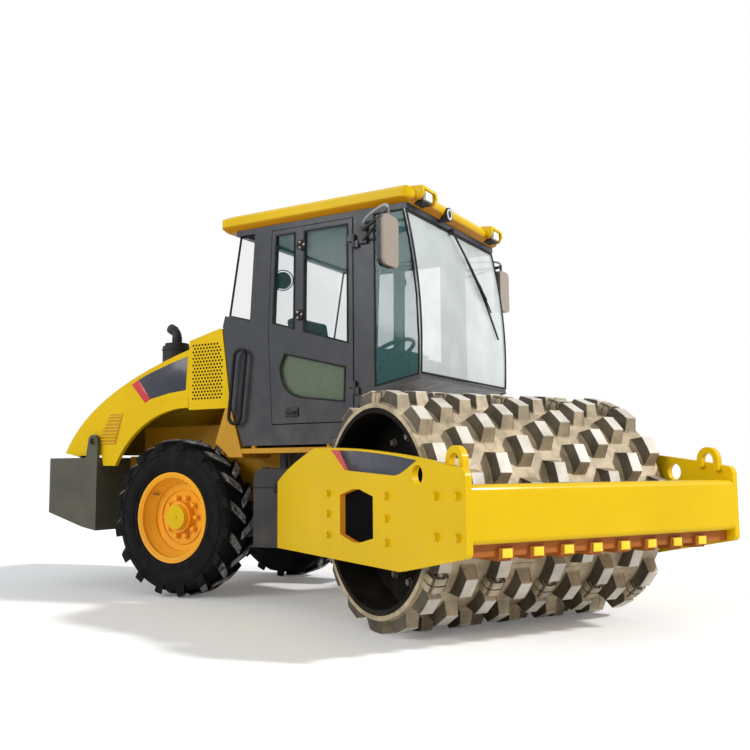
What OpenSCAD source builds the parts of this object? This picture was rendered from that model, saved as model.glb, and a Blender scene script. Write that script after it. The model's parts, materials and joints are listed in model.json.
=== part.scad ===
// Padfoot road roller: rear tractor with cab, front frame turned to its right, and drum.
// Lengths are in millimetres. +X is forward, +Y is left, +Z is up.

/* [Layout] */
// distance from the rear axle to the steering pin
hitch_x = 1348; // [1250:1:1450]
// distance from the steering pin to the drum axis
drum_ahead = 1302; // [1250:1:1400]
// steering angle the machine stands at, negative to its right
steer_rest = -30.5; // [-34:0.5:34]

/* [Wheels] */
// tyre radius at the lug tips
tyre_r = 578; // [540:1:620]
// tyre width
tyre_w = 318; // [280:1:340]
// distance from the centre line to each tyre's middle
track_half = 688; // [660:1:720]
// radius of the rim's outer flange
rim_r = 330; // [310:1:345]
// height of the tread lugs
lug_h = 38; // [20:1:45]
// tread lugs on each side of a tyre
lug_count = 16; // [12:1:20]

/* [Drum] */
// radius at the pad tips
pad_tip_r = 690; // [670:1:720]
// outer radius of the smooth drum
drum_r = 585; // [570:1:600]
// thickness of the pad shells
shell_t = 26; // [18:1:30]
// width of the drum
drum_w = 1680; // [1600:10:1760]
// pads in one ring
pads_round = 15; // [15:3:18]
// rings of pads across the drum
pad_rings = 9; // [7:2:9]
// angle of the first pad in the middle ring
pad_phase = 17.7; // [0:0.1:24]

/* [Front frame] */
// free space between the drum's end and the side plate
plate_gap = 63; // [50:1:80]
// thickness of the side plates
plate_t = 36; // [25:1:40]
// distance from the steering pin to the front of the frame
nose_x = 2359; // [2300:1:2420]
// top of the front beam
beam_top = 846; // [820:1:860]
// bottom of the front beam
beam_low = 567; // [550:1:600]

/* [Body] */
// half width of the hood
hood_y = 722; // [700:1:726]
// half width of the cab
cab_y = 740; // [730:1:750]
// half width of the roof
roof_y = 772; // [760:1:800]
// underside of the roof
roof_z = 2680; // [2650:1:2720]
// rearmost point of the counterweight
tail_x = -1440; // [-1500:1:-1400]
// half width of the counterweight
cw_y = 765; // [760:1:790]
// outer edge of the mirrors
mirror_y = 1060; // [1030:1:1090]
// sheet thickness of panels
sheet = 20; // [12:1:25]
// thickness of the cab's posts
post_t = 45; // [35:1:50]
// glass thickness
glass_t = 8; // [5:1:10]
// front edge of the doors
door_front = 1527; // [1515:1:1535]

/* [Hidden] */
cs = cos(steer_rest);
sn = sin(steer_rest);
plate_in = drum_w / 2 + plate_gap;
plate_y = plate_in + plate_t;
front_x = hitch_x + nose_x * cs - plate_y * sn;
right_y = nose_x * sn - plate_y * cs;
origin_x = (tail_x + front_x) / 2;
origin_y = (mirror_y + right_y) / 2;
axle_z = tyre_r;
drum_z = pad_tip_r;
shell_r = drum_r + shell_t;
pad_pitch = 360 / pads_round;
pad_step = 0.4 * pad_pitch;
ring_gap = round(drum_w / (pad_rings - 0.3));
pin_r = 50;
spindle_r = 55;
run = 0.05;
seat_gap = 0.3;
arch_x = 40;
arch_z = axle_z - 8;
arch_r = tyre_r + 244;
wheel_clear = tyre_r + 60;
hitch_rear = 760;
hitch_face = 800;
rail_y = 400;
rail_t = 30;
rail_low = axle_z + 112;
rail_top = 1040;
deck_top = rail_top + 35;
cab_low = 1094;
cab_in = cab_y - post_t;
cw_front = -852;
cw_top = 1030;
hinge_x = -1290;
hinge_z = cw_top + 32;
hinge_pin = 12;
hinge_y = 500;
leaf_t = 25;
cyl_ax = -500;
cyl_bx = 200;
cyl_y = 280;
cyl_z = 670;
cyl_pin = 20;
ear_gap = 35;
ear_t = 24;
ear_r = 40;
barrel_l = 440;
rod_l = 440;
rod_r = 22;
function cyl_vec(s) = [cs * cyl_bx - sn * s * cyl_y - cyl_ax, sn * cyl_bx + cs * s * cyl_y - s * cyl_y];
function cyl_len(s) = norm(cyl_vec(s));
function cyl_ang(s) = atan2(cyl_vec(s)[1], cyl_vec(s)[0]);

module rear_place() translate([-origin_x, -origin_y, 0]) children();
module front_place() rear_place() translate([hitch_x, 0, 0]) rotate([0, 0, steer_rest]) children();
module drum_place() front_place() translate([drum_ahead, 0, drum_z]) children();
module box(x0, x1, y0, y1, z0, z1) translate([x0, y0, z0]) cube([x1 - x0, y1 - y0, z1 - z0]);
module side(pts, y0, y1) translate([0, y1, 0]) rotate([90, 0, 0]) linear_extrude(height = y1 - y0)
  polygon(pts);
module across(r, y0, y1, x = 0, z = 0) translate([x, y1, z]) rotate([90, 0, 0])
  cylinder(r = r, h = y1 - y0, $fn = 64);
module along(r, x0, x1) translate([x0, 0, 0]) rotate([0, 90, 0]) cylinder(r = r, h = x1 - x0, $fn = 48);
module up(r, z0, z1, x = 0, y = 0) translate([x, y, z0]) cylinder(r = r, h = z1 - z0, $fn = 64);
module tube(p, q, r) translate(p) rotate([0, acos((q[2] - p[2]) / norm(q - p)),
  atan2(q[1] - p[1], q[0] - p[0])])
  cylinder(r = r, h = norm(q - p), $fn = 32);
module both() {
  children();
  mirror([0, 1, 0]) children();
}
function arc(c, r, a0, a1, n = 6) = [for (i = [0:n])
  let(a = a0 + (a1 - a0) * i / n) c + r * [cos(a), sin(a)]];
function bow(p, c, q, n = 10) = [for (i = [0:n])
  let(t = i / n) (1 - t) * (1 - t) * p + 2 * t * (1 - t) * c + t * t * q];
function mix(p, q, t) = p + t * (q - p);

yellow = [0.95, 0.72, 0.07];
dark = [0.2, 0.2, 0.2];
black = [0.06, 0.06, 0.06];
steel = [0.7, 0.64, 0.52];
tint = [0.3, 0.55, 0.5, 0.4];

// frame rails, cross plates, deck under the cab, its rubber mounts and the brackets under the cowl
cowl_low = 1374;
cowl_front = 478;
mount_y = cab_y - 25;
module chassis() color(yellow) rear_place() {
  both() box(cw_front, hitch_rear, rail_y - rail_t, rail_y, rail_low, rail_top);
  for (x = [cw_front, 380, hitch_rear - 40]) box(x, x + 40, -rail_y, rail_y, rail_low + 130, rail_top);
  box(560, 1390, -cab_y + 5, cab_y - 5, rail_top, deck_top);
  both() for (x = [680, 1320]) up(20, deck_top, cab_low, x, mount_y);
  both() difference() {
    side([[340, 1015], [340, 1130], [cowl_front - 50, cowl_low], [cowl_front, cowl_low], [590, 1015]],
      rail_y - rail_t, cab_y - 2);
    across(wheel_clear, rail_y + 20, cab_y + 5, 0, axle_z);
  }
}

// bearing block on the rear frame that holds the steering pin
boss_r = 115;
boss_low = 545;
boss_top = 795;
module rear_hitch() color(black) rear_place() difference() {
  union() {
    box(hitch_rear, hitch_face, -rail_y, rail_y, 470, rail_top);
    translate([0, 0, boss_low]) linear_extrude(height = boss_top - boss_low)
      polygon([[hitch_face, -150], [hitch_x, -boss_r], [hitch_x, boss_r], [hitch_face, 150]]);
    up(boss_r, boss_low, boss_top, hitch_x);
    both() cyl_ears(hitch_x + cyl_ax, hitch_face);
    both() up(cyl_pin, cyl_z - ear_gap, cyl_z + ear_gap, hitch_x + cyl_ax, cyl_y);
  }
  up(pin_r + run, boss_low - 1, boss_top + 1, hitch_x);
}
module cyl_ears(x, root) for (z = [cyl_z - ear_gap - ear_t, cyl_z + ear_gap]) {
  up(ear_r, z, z + ear_t, x, cyl_y);
  box(min(x, root), max(x, root), cyl_y - ear_r, cyl_y + ear_r, z, z + ear_t);
}

// axle tube, gear housing, the two spindles and the pads under the rails
gear_r = 200;
axle_r = 95;
flange_in = 440;
flange_out = 520;
module rear_axle() color(black) rear_place() translate([0, 0, axle_z]) {
  across(axle_r, -flange_in, flange_in);
  across(gear_r, -130, 130);
  both() across(axle_r + 25, flange_in, flange_out);
  both() across(spindle_r, flange_out, track_half + 40);
  both() box(-90, 90, rail_y - rail_t, rail_y, axle_r - 35, rail_low - axle_z);
}

// ballast block behind the hood, with rounded rear edges and a lifting eye at each side
eye_x = -905;
eye_z = 1160;
eye_t = 28;
module counterweight() color(dark) rear_place() {
  intersection() {
    side([[tail_x, 640], [tail_x, cw_top], [cw_front, cw_top], [cw_front, 455], [-1000, 480],
      [tail_x + 20, 597]], -cw_y, cw_y);
    translate([0, 0, 400]) linear_extrude(height = 700)
      polygon(concat(arc([tail_x + 70, 70 - cw_y], 70, 180, 270),
      [[cw_front, -cw_y], [cw_front, cw_y]], arc([tail_x + 70, cw_y - 70], 70, 90, 180)));
  }
  both() difference() {
    side(concat([[cw_front, cw_top], [cw_front, eye_z]], arc([eye_x, eye_z], cw_front - eye_x, 0, 150),
      [[eye_x - 75, cw_top]]), cw_y - eye_t, cw_y);
    across(24, cw_y - eye_t - 5, cw_y + 5, eye_x, eye_z);
  }
  both() {
    box(hinge_x - leaf_t, hinge_x + leaf_t, hinge_y, hinge_y + leaf_t, cw_top, hinge_z);
    across(leaf_t, hinge_y, hinge_y + leaf_t, hinge_x, hinge_z);
    across(hinge_pin, hinge_y + leaf_t, hinge_y + 2 * leaf_t + 10, hinge_x, hinge_z);
  }
}

// plain mass of the engine on its four feet
engine_y = 300;
engine_low = axle_z + gear_r + 22;
module engine_block() color(black) rear_place() {
  box(-790, 60, -engine_y, engine_y, engine_low, 1280);
  both() for (x = [-700, -80]) box(x, x + 110, engine_y, rail_y - rail_t, engine_low + 60,
    engine_low + 120);
}

// fixed cowl between hood and cab, open behind and below
cowl_rear = 78;
module cowl() color(yellow) rear_place() difference() {
  side(concat([[cowl_rear, cowl_low], [cowl_rear, 1896]], arc([372, 1945], 22, 105, 8),
    [[cowl_front, cowl_low]]), -cab_y, cab_y);
  side([[cowl_rear - 20, cowl_low - 80], [cowl_rear - 20, 1872], [350, 1935], [372, 1920],
    [cowl_front - 22, cowl_low - 80]],
    -cab_y + sheet, cab_y - sheet);
}

// tank boxes with a step on each side, hung under the deck
step_y = 800;
step_low = 390;
step_top = 930;
module step_boxes() color(black) rear_place() both() {
  side(concat([[740, step_low + 10]], arc([810, step_top - 70], 70, 180, 90),
    [[1150, step_top], [1150, step_low + 10]]), 440, step_y);
  box(725, 1150, 440, step_y + 8, step_low, step_low + 10);
  for (x = [820, 1050]) box(x, x + 50, 560, 600, step_top, rail_top);
}

// air filter canister on its foot, on the right rail
filter_r = 68;
module air_filter() color(black) rear_place() {
  up(filter_r, 1140, 1320, 262, -rail_y - 34);
  up(filter_r - 18, 1320, 1345, 262, -rail_y - 34);
  box(230, 294, -rail_y + 4, -rail_y + rail_t - 4, rail_top, 1160);
}

// floor pan and the sloping nose under the windscreen
floor_top = [[640, 1125], [1370, 1125], [1590, 1440], [1770, 1478], [2028, 1530]];
module cab_floor() color(dark) rear_place()
  side(concat([[640, cab_low + 1]], floor_top,
    [[2036, 1505], [1776, 1444], [1620, 1412], [1390, cab_low + 1]]), -cab_in, cab_in);

// welded cab shell with door and window openings
head = 40;
side_pts = [[524, roof_z], [524, roof_z - head], [692, roof_z - head], [650, 1998], [420, 2056],
  [399, 1982], [491, 1371],
  [595, cab_low], [1388, cab_low], [1470, 1230], [1535, 1310], [1620, 1412], [1776, 1444], [2036, 1500],
    [2030, 1530],
  [1776, 1478], [1692, 1462], [1692, roof_z - head], [1945, roof_z - head], [1945, roof_z]];
door_gap = 7;
door_pts = [[853, roof_z - head - door_gap], [821, 1916], [858, 1243], [1462, 1243], [door_front, 1325],
  [door_front, roof_z - head - door_gap]];
module cab_frame() color(dark) rear_place() {
  both() difference() {
    side(side_pts, cab_in, cab_y);
    side(gap_pts(door_pts, door_gap), cab_in - 5, cab_y + 5);
  }
  side([[420, 2056], [399, 1982], [491, 1371], [595, cab_low], [640, cab_low], [536, 1371], [444, 1982],
    [458, 2046]], -cab_in, cab_in);
  box(524, 570, -cab_in, cab_in, roof_z - head, roof_z);
  box(1900, 1945, -cab_in, cab_in, roof_z - head, roof_z);
  both() for (z = hinge_zs) door_pin(z);
}
function gap_pts(p, g) = [[p[0][0] - g, p[0][1] + g], [p[1][0] - g, p[1][1]], [p[2][0] - g, p[2][1] - g],
  [p[3][0] + g / 2, p[3][1] - g], [p[4][0] + g, p[4][1] - g / 2], [p[5][0] + g, p[5][1] + g]];

// hinge knuckles of the doors
hinge_zs = [1420, 2420];
door_hx = door_front + 18;
door_hy = cab_y + 16;
knuckle_r = 14;
knuckle_h = 45;
door_pin_r = 7;
module door_pin(z) {
  up(knuckle_r, z, z + knuckle_h, door_hx, door_hy);
  up(door_pin_r, z + knuckle_h, z + 2 * knuckle_h + 2, door_hx, door_hy);
  box(door_hx, door_hx + 35, cab_y - 1, door_hy + 6, z, z + knuckle_h);
}

// pressed roof with bevelled edges and two lamp bays in front
lamp_y = 600;
lamp_half = 70;
bay_x = 1952;
roof_nose = 2004;
module cab_roof() color(yellow) rear_place() difference() {
  intersection() {
    side(concat([[430, roof_z], [396, roof_z + 36], [402, roof_z + 92], [440, roof_z + 116],
      [1780, roof_z + 146]],
      bow([1880, roof_z + 134], [1985, roof_z + 116], [roof_nose, roof_z + 60]),
        [[1992, roof_z + 26], [1950, roof_z]]), -roof_y, roof_y);
    translate([300, 0, 0]) rotate([90, 0, 90]) linear_extrude(height = 1800)
      polygon(concat([[-roof_y + 46, roof_z], [-roof_y, roof_z + 38], [-roof_y, roof_z + 92]],
        bow([-roof_y + 34, roof_z + 118], [0, roof_z + 172], [roof_y - 34, roof_z + 118]),
        [[roof_y, roof_z + 92], [roof_y, roof_z + 38], [roof_y - 46, roof_z]]));
    translate([0, 0, roof_z - 50]) linear_extrude(height = 400)
      polygon(concat(arc([430, 40 - roof_y], 40, 180, 270), arc([1900, 110 - roof_y], 110, 270, 360),
        arc([1900, roof_y - 110], 110, 0, 90), arc([430, roof_y - 40], 40, 90, 180)));
  }
  both() box(bay_x, roof_nose + 50, lamp_y - lamp_half - 10, lamp_y + lamp_half - 8, roof_z - 80,
    roof_z + 98);
}

// front glass, bowed a little
screen_r = 3716;
screen_front = 2037;
screen_c = [screen_front - screen_r, 1762];
screen_low = 1530 + seat_gap;
screen_top = roof_z - head;
function screen_x(z, r) = screen_c[0] + sqrt(r * r - (z - screen_c[1]) * (z - screen_c[1]));
function screen_line(r, z0, z1, n = 12) =
  [for (i = [0:n]) let(z = z0 + (z1 - z0) * i / n) [screen_x(z, r), z]];
module windscreen() color(tint) rear_place()
  side(concat(screen_line(screen_r, screen_low, screen_top),
    screen_line(screen_r - glass_t, screen_top, screen_low)), -cab_y + 2, cab_y - 2);

// back glass of the cab
module rear_window() color(tint) rear_place()
  side([[421, 2056.5], [526, roof_z - head], [526 + glass_t, roof_z - head], [430, 2054]], -cab_in, cab_in);

// fixed quarter glass and front corner glass on both sides
module side_glass() color(tint) rear_place() both() {
  side([[440, 2052], [650 - seat_gap, 1998.4], [692 - seat_gap, roof_z - head - seat_gap],
    [542, roof_z - head - seat_gap]],
    cab_in + 5, cab_in + 5 + glass_t);
  side(concat([[1692 + seat_gap, 1463], [1776, 1478 + seat_gap]],
    screen_line(screen_r - glass_t - seat_gap, screen_low + 2, screen_top - seat_gap),
      [[1692 + seat_gap, screen_top - seat_gap]]),
    cab_y - glass_t - 2, cab_y - 2);
}

// seat on its base, with arm rests
module seat() color(black) rear_place() {
  side([[740, 1125], [780, 1400], [1080, 1400], [1120, 1125]], -200, 200);
  side(concat([[700, 1400]], arc([740, 1465], 48, 200, 90), arc([1135, 1478], 52, 80, -90)), -250, 250);
  side(concat([[810, 1500], [712, 1500]], arc([630, 2060], 68, 188, 10, 8)), -235, 235);
  both() side(concat(arc([705, 1685], 25, 90, 270, 5), arc([1010, 1695], 25, 270, 450, 5)), 262, 322);
  both() side([[676, 1560], [656, 1672], [730, 1672], [752, 1560]], 230, 322);
}

// instrument column with its steering wheel
wheel_r = 190;
module console() color(black) rear_place() {
  side(concat([mix(floor_top[1], floor_top[2], 0.14), floor_top[2], mix(floor_top[2], floor_top[3], 0.55)],
    arc([1600, 1660], 88, 10, 120), [[1470, 1720], [1420, 1420]]), -210, 210);
  translate([1408, 0, 1790]) rotate([0, -28, 0]) {
    rotate_extrude($fn = 64) translate([wheel_r, 0]) circle(r = 15, $fn = 24);
    cylinder(r = 45, h = 36, center = true, $fn = 32);
    for (a = [90, 210, 330]) rotate([0, 0, a]) box(0, wheel_r - 2, -14, 14, -7, 7);
    translate([0, 0, -180]) cylinder(r = 28, h = 175, $fn = 32);
  }
}

// mirror heads on their tube arms
mirror_w = 190;
mirror_x = 1898;
module mirrors() color(black) rear_place() both() {
  translate([mirror_x, 0, 0]) rotate([90, 0, 90]) linear_extrude(height = 56)
    polygon(concat(arc([mirror_y - mirror_w + 40, 2240], 40, 180, 270),
      arc([mirror_y - 40, 2240], 40, 270, 360),
      arc([mirror_y - 40, 2490], 40, 0, 90), arc([mirror_y - mirror_w + 40, 2490], 40, 90, 180)));
  box(1590, 1650, cab_y, cab_y + 22, 2440, 2560);
  tube([1620, cab_y + 16, 2530], [mirror_x + 28, mirror_y - 100, 2574], 11);
  tube([1620, cab_y + 16, 2460], [mirror_x + 28, mirror_y - 100, 2574], 9);
  tube([mirror_x + 28, mirror_y - 100, 2510], [mirror_x + 28, mirror_y - 100, 2588], 11);
}

// work lamps in the roof's bays
module roof_lamps() color(black) rear_place() both()
  box(bay_x, roof_nose + 12, lamp_y - lamp_half, lamp_y + lamp_half - 18, roof_z + 10, roof_z + 94);

// loop rails beside the doors
grab_r = 52;
grab_h = 215;
grab_off = 44;
module grab_handles() color(black) rear_place() both() translate([574, cab_y + grab_off, 1520])
  rotate([0, 6, 0]) {
  for (x = [-grab_r, grab_r]) translate([x, 0, -grab_h]) cylinder(r = 13, h = 2 * grab_h, $fn = 32);
  for (a = [0, 180]) rotate([0, a, 0]) translate([0, 0, grab_h]) rotate([90, 0, 0])
    rotate_extrude(angle = 180, $fn = 48) translate([grab_r, 0]) circle(r = 13, $fn = 24);
  for (s = [-1, 1]) translate([0, 0, s * (grab_h + grab_r)]) rotate([90, 0, 0])
    cylinder(r = 12, h = grab_off, $fn = 32);
}

// door frame with its openings
win_top = roof_z - 80;
win_rear = [[884, win_top], [856, 1960], [1048, 1902], [1056, win_top]];
win_front = [[1128, win_top], [1120, 1880], [1492, 1768], [1494, win_top]];
win_low = concat([[1472, 1615], [962, 1740]], bow([919, 1644], [930, 1440], [1099, 1416]), [[1462, 1372]]);
module door() {
  difference() {
    side(door_pts, cab_in + 5, cab_y + 4);
    for (w = [win_rear, win_front, win_low]) side(w, cab_in - 5, cab_y + 10);
  }
  for (z = hinge_zs) difference() {
    union() {
      up(knuckle_r, z + knuckle_h + 1, z + 2 * knuckle_h, door_hx, door_hy);
      box(door_front - 30, door_hx, cab_y + 3, door_hy + 6, z + knuckle_h + 1, z + 2 * knuckle_h);
    }
    up(door_pin_r + run, z + knuckle_h - 5, z + 2 * knuckle_h + 5, door_hx, door_hy);
  }
}
module door_glass() for (w = [win_rear, win_front, win_low])
  side(inset(w), cab_in + 22, cab_in + 22 + glass_t);
function inset(w) = let(c = [mid(w, 0), mid(w, 1)])
  [for (p = w) p + seat_gap * [sign(c[0] - p[0]), sign(c[1] - p[1])]];
function mid(w, i) = let(v = [for (p = w) p[i]]) (max(v) + min(v)) / 2;
module door_left() color(dark) rear_place() door();
module door_left_glass() color(tint) rear_place() door_glass();
module door_right() color(dark) rear_place() mirror([0, 1, 0]) door();
module door_right_glass() color(tint) rear_place() mirror([0, 1, 0]) door_glass();

// engine hood that tips to the rear, open below and in front
hood_tail = [-1262, 1072];
hood_mid = [-990, 1560];
hood_top = [70, 1837];
hood_lip = 70;
muf_x = -540;
muf_y = -205;
muf_r = 118;
module hood() color(yellow) rear_place() {
  difference() {
    side(concat(bow(hood_tail, hood_mid, hood_top, 14),
      [[70, 1300], [-560, 960], [-828, 965], [-846, cw_top + 18], [-1150, cw_top + 18]]),
      -hood_y, hood_y);
    side(concat(bow(hood_tail + [40, -72], hood_mid + [sheet, -sheet], hood_top + [20, -22], 14),
      [[90, 900], [-1222, 900]]),
      -hood_y + sheet, hood_y - sheet);
    across(arch_r, -cab_y, cab_y, arch_x, arch_z);
    up(muf_r + seat_gap, 1400, 2000, muf_x, muf_y);
  }
  both() difference() {
    across(arch_r + hood_lip, hood_y, hood_y + 16, arch_x, arch_z);
    across(arch_r, hood_y - 1, hood_y + 20, arch_x, arch_z);
    box(hood_top[0] + 2, 2000, 600, 900, 0, 2000);
    box(-2000, 2000, 600, 900, -500, 966);
  }
  both() difference() {
    union() {
      across(leaf_t - 3, hinge_y + leaf_t + 2, hinge_y + 2 * leaf_t + 5, hinge_x, hinge_z);
      box(hinge_x, hinge_x + 75, hinge_y + leaf_t + 2, hinge_y + 2 * leaf_t + 5, hinge_z, hinge_z + 22);
    }
    across(hinge_pin + run, hinge_y, hinge_y + 3 * leaf_t, hinge_x, hinge_z);
  }
}

// slats on the hood's sides
slat_count = 9;
slat_low = arch_z + 572;
slat_front = arch_x - arch_r + 82;
slat_l = 188;
module hood_louvres() color(yellow) rear_place() both() for (i = [0:slat_count - 1])
  translate([0, 0, slat_low + i * 26])
  box(slat_front - slat_l + i * 15, slat_front + i * 9, hood_y + seat_gap, hood_y + 9, 0, 10);

// silencer standing through the hood with its bent tail pipe
pipe_r = 38;
collar = 4;
bend_r = 70;
pipe_z = 2040;
module muffler() color(black) rear_place() translate([muf_x, muf_y, 0]) {
  up(muf_r, 1500, 1960);
  up(muf_r - 18, 1960, 1985);
  up(pipe_r + collar, 1985, pipe_z + collar);
  translate([-bend_r, 0, pipe_z]) rotate([90, 0, 0]) rotate_extrude(angle = 60, $fn = 64)
    translate([bend_r, 0]) circle(r = pipe_r, $fn = 32);
  translate([-bend_r / 2, 0, pipe_z + bend_r * sin(60)]) rotate([0, -60, 0]) translate([0, 0, -2 * collar])
    cylinder(r = pipe_r + collar, h = 50, $fn = 32);
}

// side plates of the front frame
plate_rear = 170;
lash_r = 50;
window_x = 1285;
window_w = 197;
window_flat = 40;
window_z = [512, 546, 774, 810];
window_half = [[window_flat, window_z[0]], [window_w, window_z[1]], [window_w, window_z[2]],
  [window_flat, window_z[3]]];
module side_plates() color(yellow) front_place() both() difference() {
  side(concat([[plate_rear, 402]], bow([plate_rear, 840], [345, 949], [740, 1054]),
    bow([740, 1054], [1480, 1057], [nose_x - 59, 928]),
    arc([nose_x - 45, 880], 45, 80, 0), arc([nose_x - 30, 535], 30, 0, -70), [[1755, 393]]), plate_in,
      plate_y);
  side([for (p = window_half) [window_x - p[0], p[1]], for (i = [len(window_half) - 1:-1:0])
    [window_x + window_half[i][0], window_half[i][1]]], plate_in - 5, plate_y + 5);
  across(lash_r, plate_in - 5, plate_y + 5, 1940, 892);
}

// bent front beam, open behind
beam_d = 150;
bend = 30;
module front_beam() color(yellow) front_place() difference() {
  side(concat([[nose_x - beam_d, beam_low], [nose_x - beam_d, beam_top]],
    arc([nose_x - bend, beam_top - bend], bend, 90, 0),
    arc([nose_x - bend, beam_low + bend], bend, 0, -90)), -plate_in, plate_in);
  side(concat([[nose_x - beam_d - 10, beam_low + sheet], [nose_x - beam_d - 10, beam_top - sheet]],
    arc([nose_x - bend, beam_top - bend], bend - sheet, 90, 0),
      arc([nose_x - bend, beam_low + bend], bend - sheet, 0, -90)),
    -plate_in + sheet, plate_in - sheet);
}

// rear cross beam with the two lugs and the steering pin
yoke_x = 330;
yoke_d = 230;
lug_t = 64;
lug_r = 120;
lug_zs = [470, 806];
module front_yoke() color(yellow) front_place() {
  box(yoke_x, yoke_x + yoke_d, -plate_in, plate_in, 440, 860);
  for (z = lug_zs) {
    translate([0, 0, z]) linear_extrude(height = lug_t)
      polygon([[0, -lug_r], [yoke_x, -lug_r - 100], [yoke_x, lug_r + 100], [0, lug_r]]);
    up(lug_r, z, z + lug_t);
  }
  up(pin_r, lug_zs[0], lug_zs[1] + lug_t);
  both() cyl_ears(cyl_bx, yoke_x);
}

// scraper bar under the front beam, with a tooth for each gap between pad rings
bar_x = nose_x - 60;
module scrapers() color(yellow) front_place() {
  box(bar_x - 30, bar_x, -plate_in, plate_in, 505, beam_low);
  for (i = [0:pad_rings - 2]) translate([0, (i - (pad_rings - 2) / 2) * ring_gap, 0]) {
    box(bar_x, bar_x + 16, -45, 45, 490, 545);
    box(drum_ahead + pad_tip_r + 50, bar_x, -40, 40, 480, 505);
  }
}

// rubber mounted hubs that carry the drum
disc_out = drum_w / 2 - 250;
disc_t = 40;
module drum_mounts() color(black) drum_place() both() {
  across(250, plate_in - 100, plate_in);
  across(130, disc_out + 50, plate_in - 100);
  across(spindle_r, disc_out - disc_t, disc_out + 50);
}

// bent lifting hooks inside the plate tops
hook_r = 40;
hook_w = 34;
module lifting_hooks() color(yellow) front_place() both() translate([2215, plate_in, 960])
  rotate([90, 0, 0]) {
  rotate_extrude(angle = 180, $fn = 48) translate([hook_r, 0]) square([hook_w, hook_w]);
  translate([hook_r, -60, 0]) cube([hook_w, 60, hook_w]);
  translate([-hook_r - hook_w, -40, 0]) cube([hook_w, 40, hook_w]);
}

// smooth drum with its two end discs
drum_t = 30;
module drum() color(steel) drum_place() {
  difference() {
    across(drum_r, -drum_w / 2, drum_w / 2);
    across(drum_r - drum_t, -drum_w / 2 - 5, drum_w / 2 + 5);
  }
  both() difference() {
    across(drum_r - drum_t, disc_out - disc_t, disc_out);
    across(spindle_r + run, disc_out - disc_t - 10, disc_out + 10);
  }
}

// bolt-on pad shells, each a third of the ring, with a stepped seam between the pads
pad_sink = 14;
pad_low = 100;
pad_top = 58;
pad_h = sqrt(pow(pad_tip_r, 2) - pow(pad_top, 2)) - shell_r + pad_sink;
module pad() intersection() {
  wedge_bar(pad_low, pad_top);
  rotate([0, 0, 90]) wedge_bar(48, 38);
}
module wedge_bar(low, top) rotate([90, 0, 0]) linear_extrude(height = 400, center = true)
  polygon([[-low, 0], [low, 0], [top, pad_h], [-top, pad_h]]);
module turn(a) rotate([0, 90 - a, 0]) children();
function ring_k(ring, part) = part * pads_round / 3 - floor(ring / 2) - 2;
function seam(ring, part) = pad_phase + ring * pad_step + (ring_k(ring, part) - 0.5) * pad_pitch;
last = (pad_rings - 1) / 2;
function band_y0(ring) = ring == -last ? -drum_w / 2 : (ring - 0.5) * ring_gap;
function band_y1(ring) = ring == last ? drum_w / 2 : (ring + 0.5) * ring_gap;
// pairs of clamp ears along the seam, with a bolt hole through both
clamp_w = 120;
clamp_t = 40;
clamp_h = 86;
clamp_round = 40;
clamp_sink = 12;
clamp_hole = 17;
clamp_bolt_r = shell_r + 46;
clamp_turn = asin(clamp_t / 2 / (shell_r - clamp_sink)) + 0.2;
module pad_shell(part) color(steel) drum_place() {
  intersection() {
    difference() {
      across(shell_r, -drum_w / 2, drum_w / 2);
      across(drum_r + seat_gap, -drum_w / 2 - 5, drum_w / 2 + 5);
    }
    for (ring = [-last:last]) translate([0, band_y1(ring), 0]) rotate([90, 0, 0])
      linear_extrude(height = band_y1(ring) - band_y0(ring))
        polygon(sector(seam(ring, part) + 0.15, 119.7));
  }
  for (ring = [-last:last]) {
    for (k = [0:pads_round / 3 - 1]) turn(seam(ring, part) + (k + 0.5) * pad_pitch)
      translate([0, ring * ring_gap, shell_r - pad_sink]) pad();
    if (ring % 2 == 0) for (edge = [clamp_turn, 120 - clamp_turn]) turn(seam(ring, part) + edge + 90)
      translate([0, max(band_y0(ring) + clamp_w / 2, min(band_y1(ring) - clamp_w / 2, ring * ring_gap)),
        0]) clamp_ear();
  }
}
function sector(a, w) = [[0, 0], 1000 * [cos(a), sin(a)], 1600 * [cos(a + w / 2), sin(a + w / 2)],
  1000 * [cos(a + w), sin(a + w)]];
module clamp_ear() difference() {
  translate([shell_r - clamp_sink, 0, -clamp_t / 2]) linear_extrude(height = clamp_t)
    polygon(concat([[0, clamp_w / 2], [0, -clamp_w / 2]],
      arc([clamp_h - clamp_round, clamp_round - clamp_w / 2], clamp_round, 270, 360),
      arc([clamp_h - clamp_round, clamp_w / 2 - clamp_round], clamp_round, 0, 90)));
  translate([clamp_bolt_r, 0, -clamp_t]) cylinder(r = clamp_hole, h = 2 * clamp_t, $fn = 32);
}
module pad_shell_a() pad_shell(0);
module pad_shell_b() pad_shell(1);
module pad_shell_c() pad_shell(2);

// tyre with slanted traction lugs
carcass_r = tyre_r - lug_h;
half_w = tyre_w / 2;
bead_r = rim_r - 24;
rim_y = half_w - 19;
function wall(t) = mix(rim_r, carcass_r, t);
tyre_half = [[bead_r + seat_gap, rim_y - 48], [bead_r + seat_gap, rim_y - 19], [rim_r + 1, rim_y - 14],
  [wall(0.08), half_w - 17],
  [wall(0.25), half_w - 6], [wall(0.48), half_w - 2], [wall(0.71), half_w - 7], [wall(0.88), half_w - 20],
  [carcass_r - 4, half_w - 46], [carcass_r, 60], [carcass_r + 3, 0]];
lug_half = [[carcass_r - 14, 70], [wall(0.67), half_w - 30], [wall(0.83), half_w - 1],
  [tyre_r - 24, half_w],
  [tyre_r, half_w - 54], [tyre_r + 1.5, 0]];
function mirrored(h) = [for (p = h) [p[0], -p[1]]];
function backward(h) = [for (i = [len(h) - 2:-1:0]) h[i]];
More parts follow.
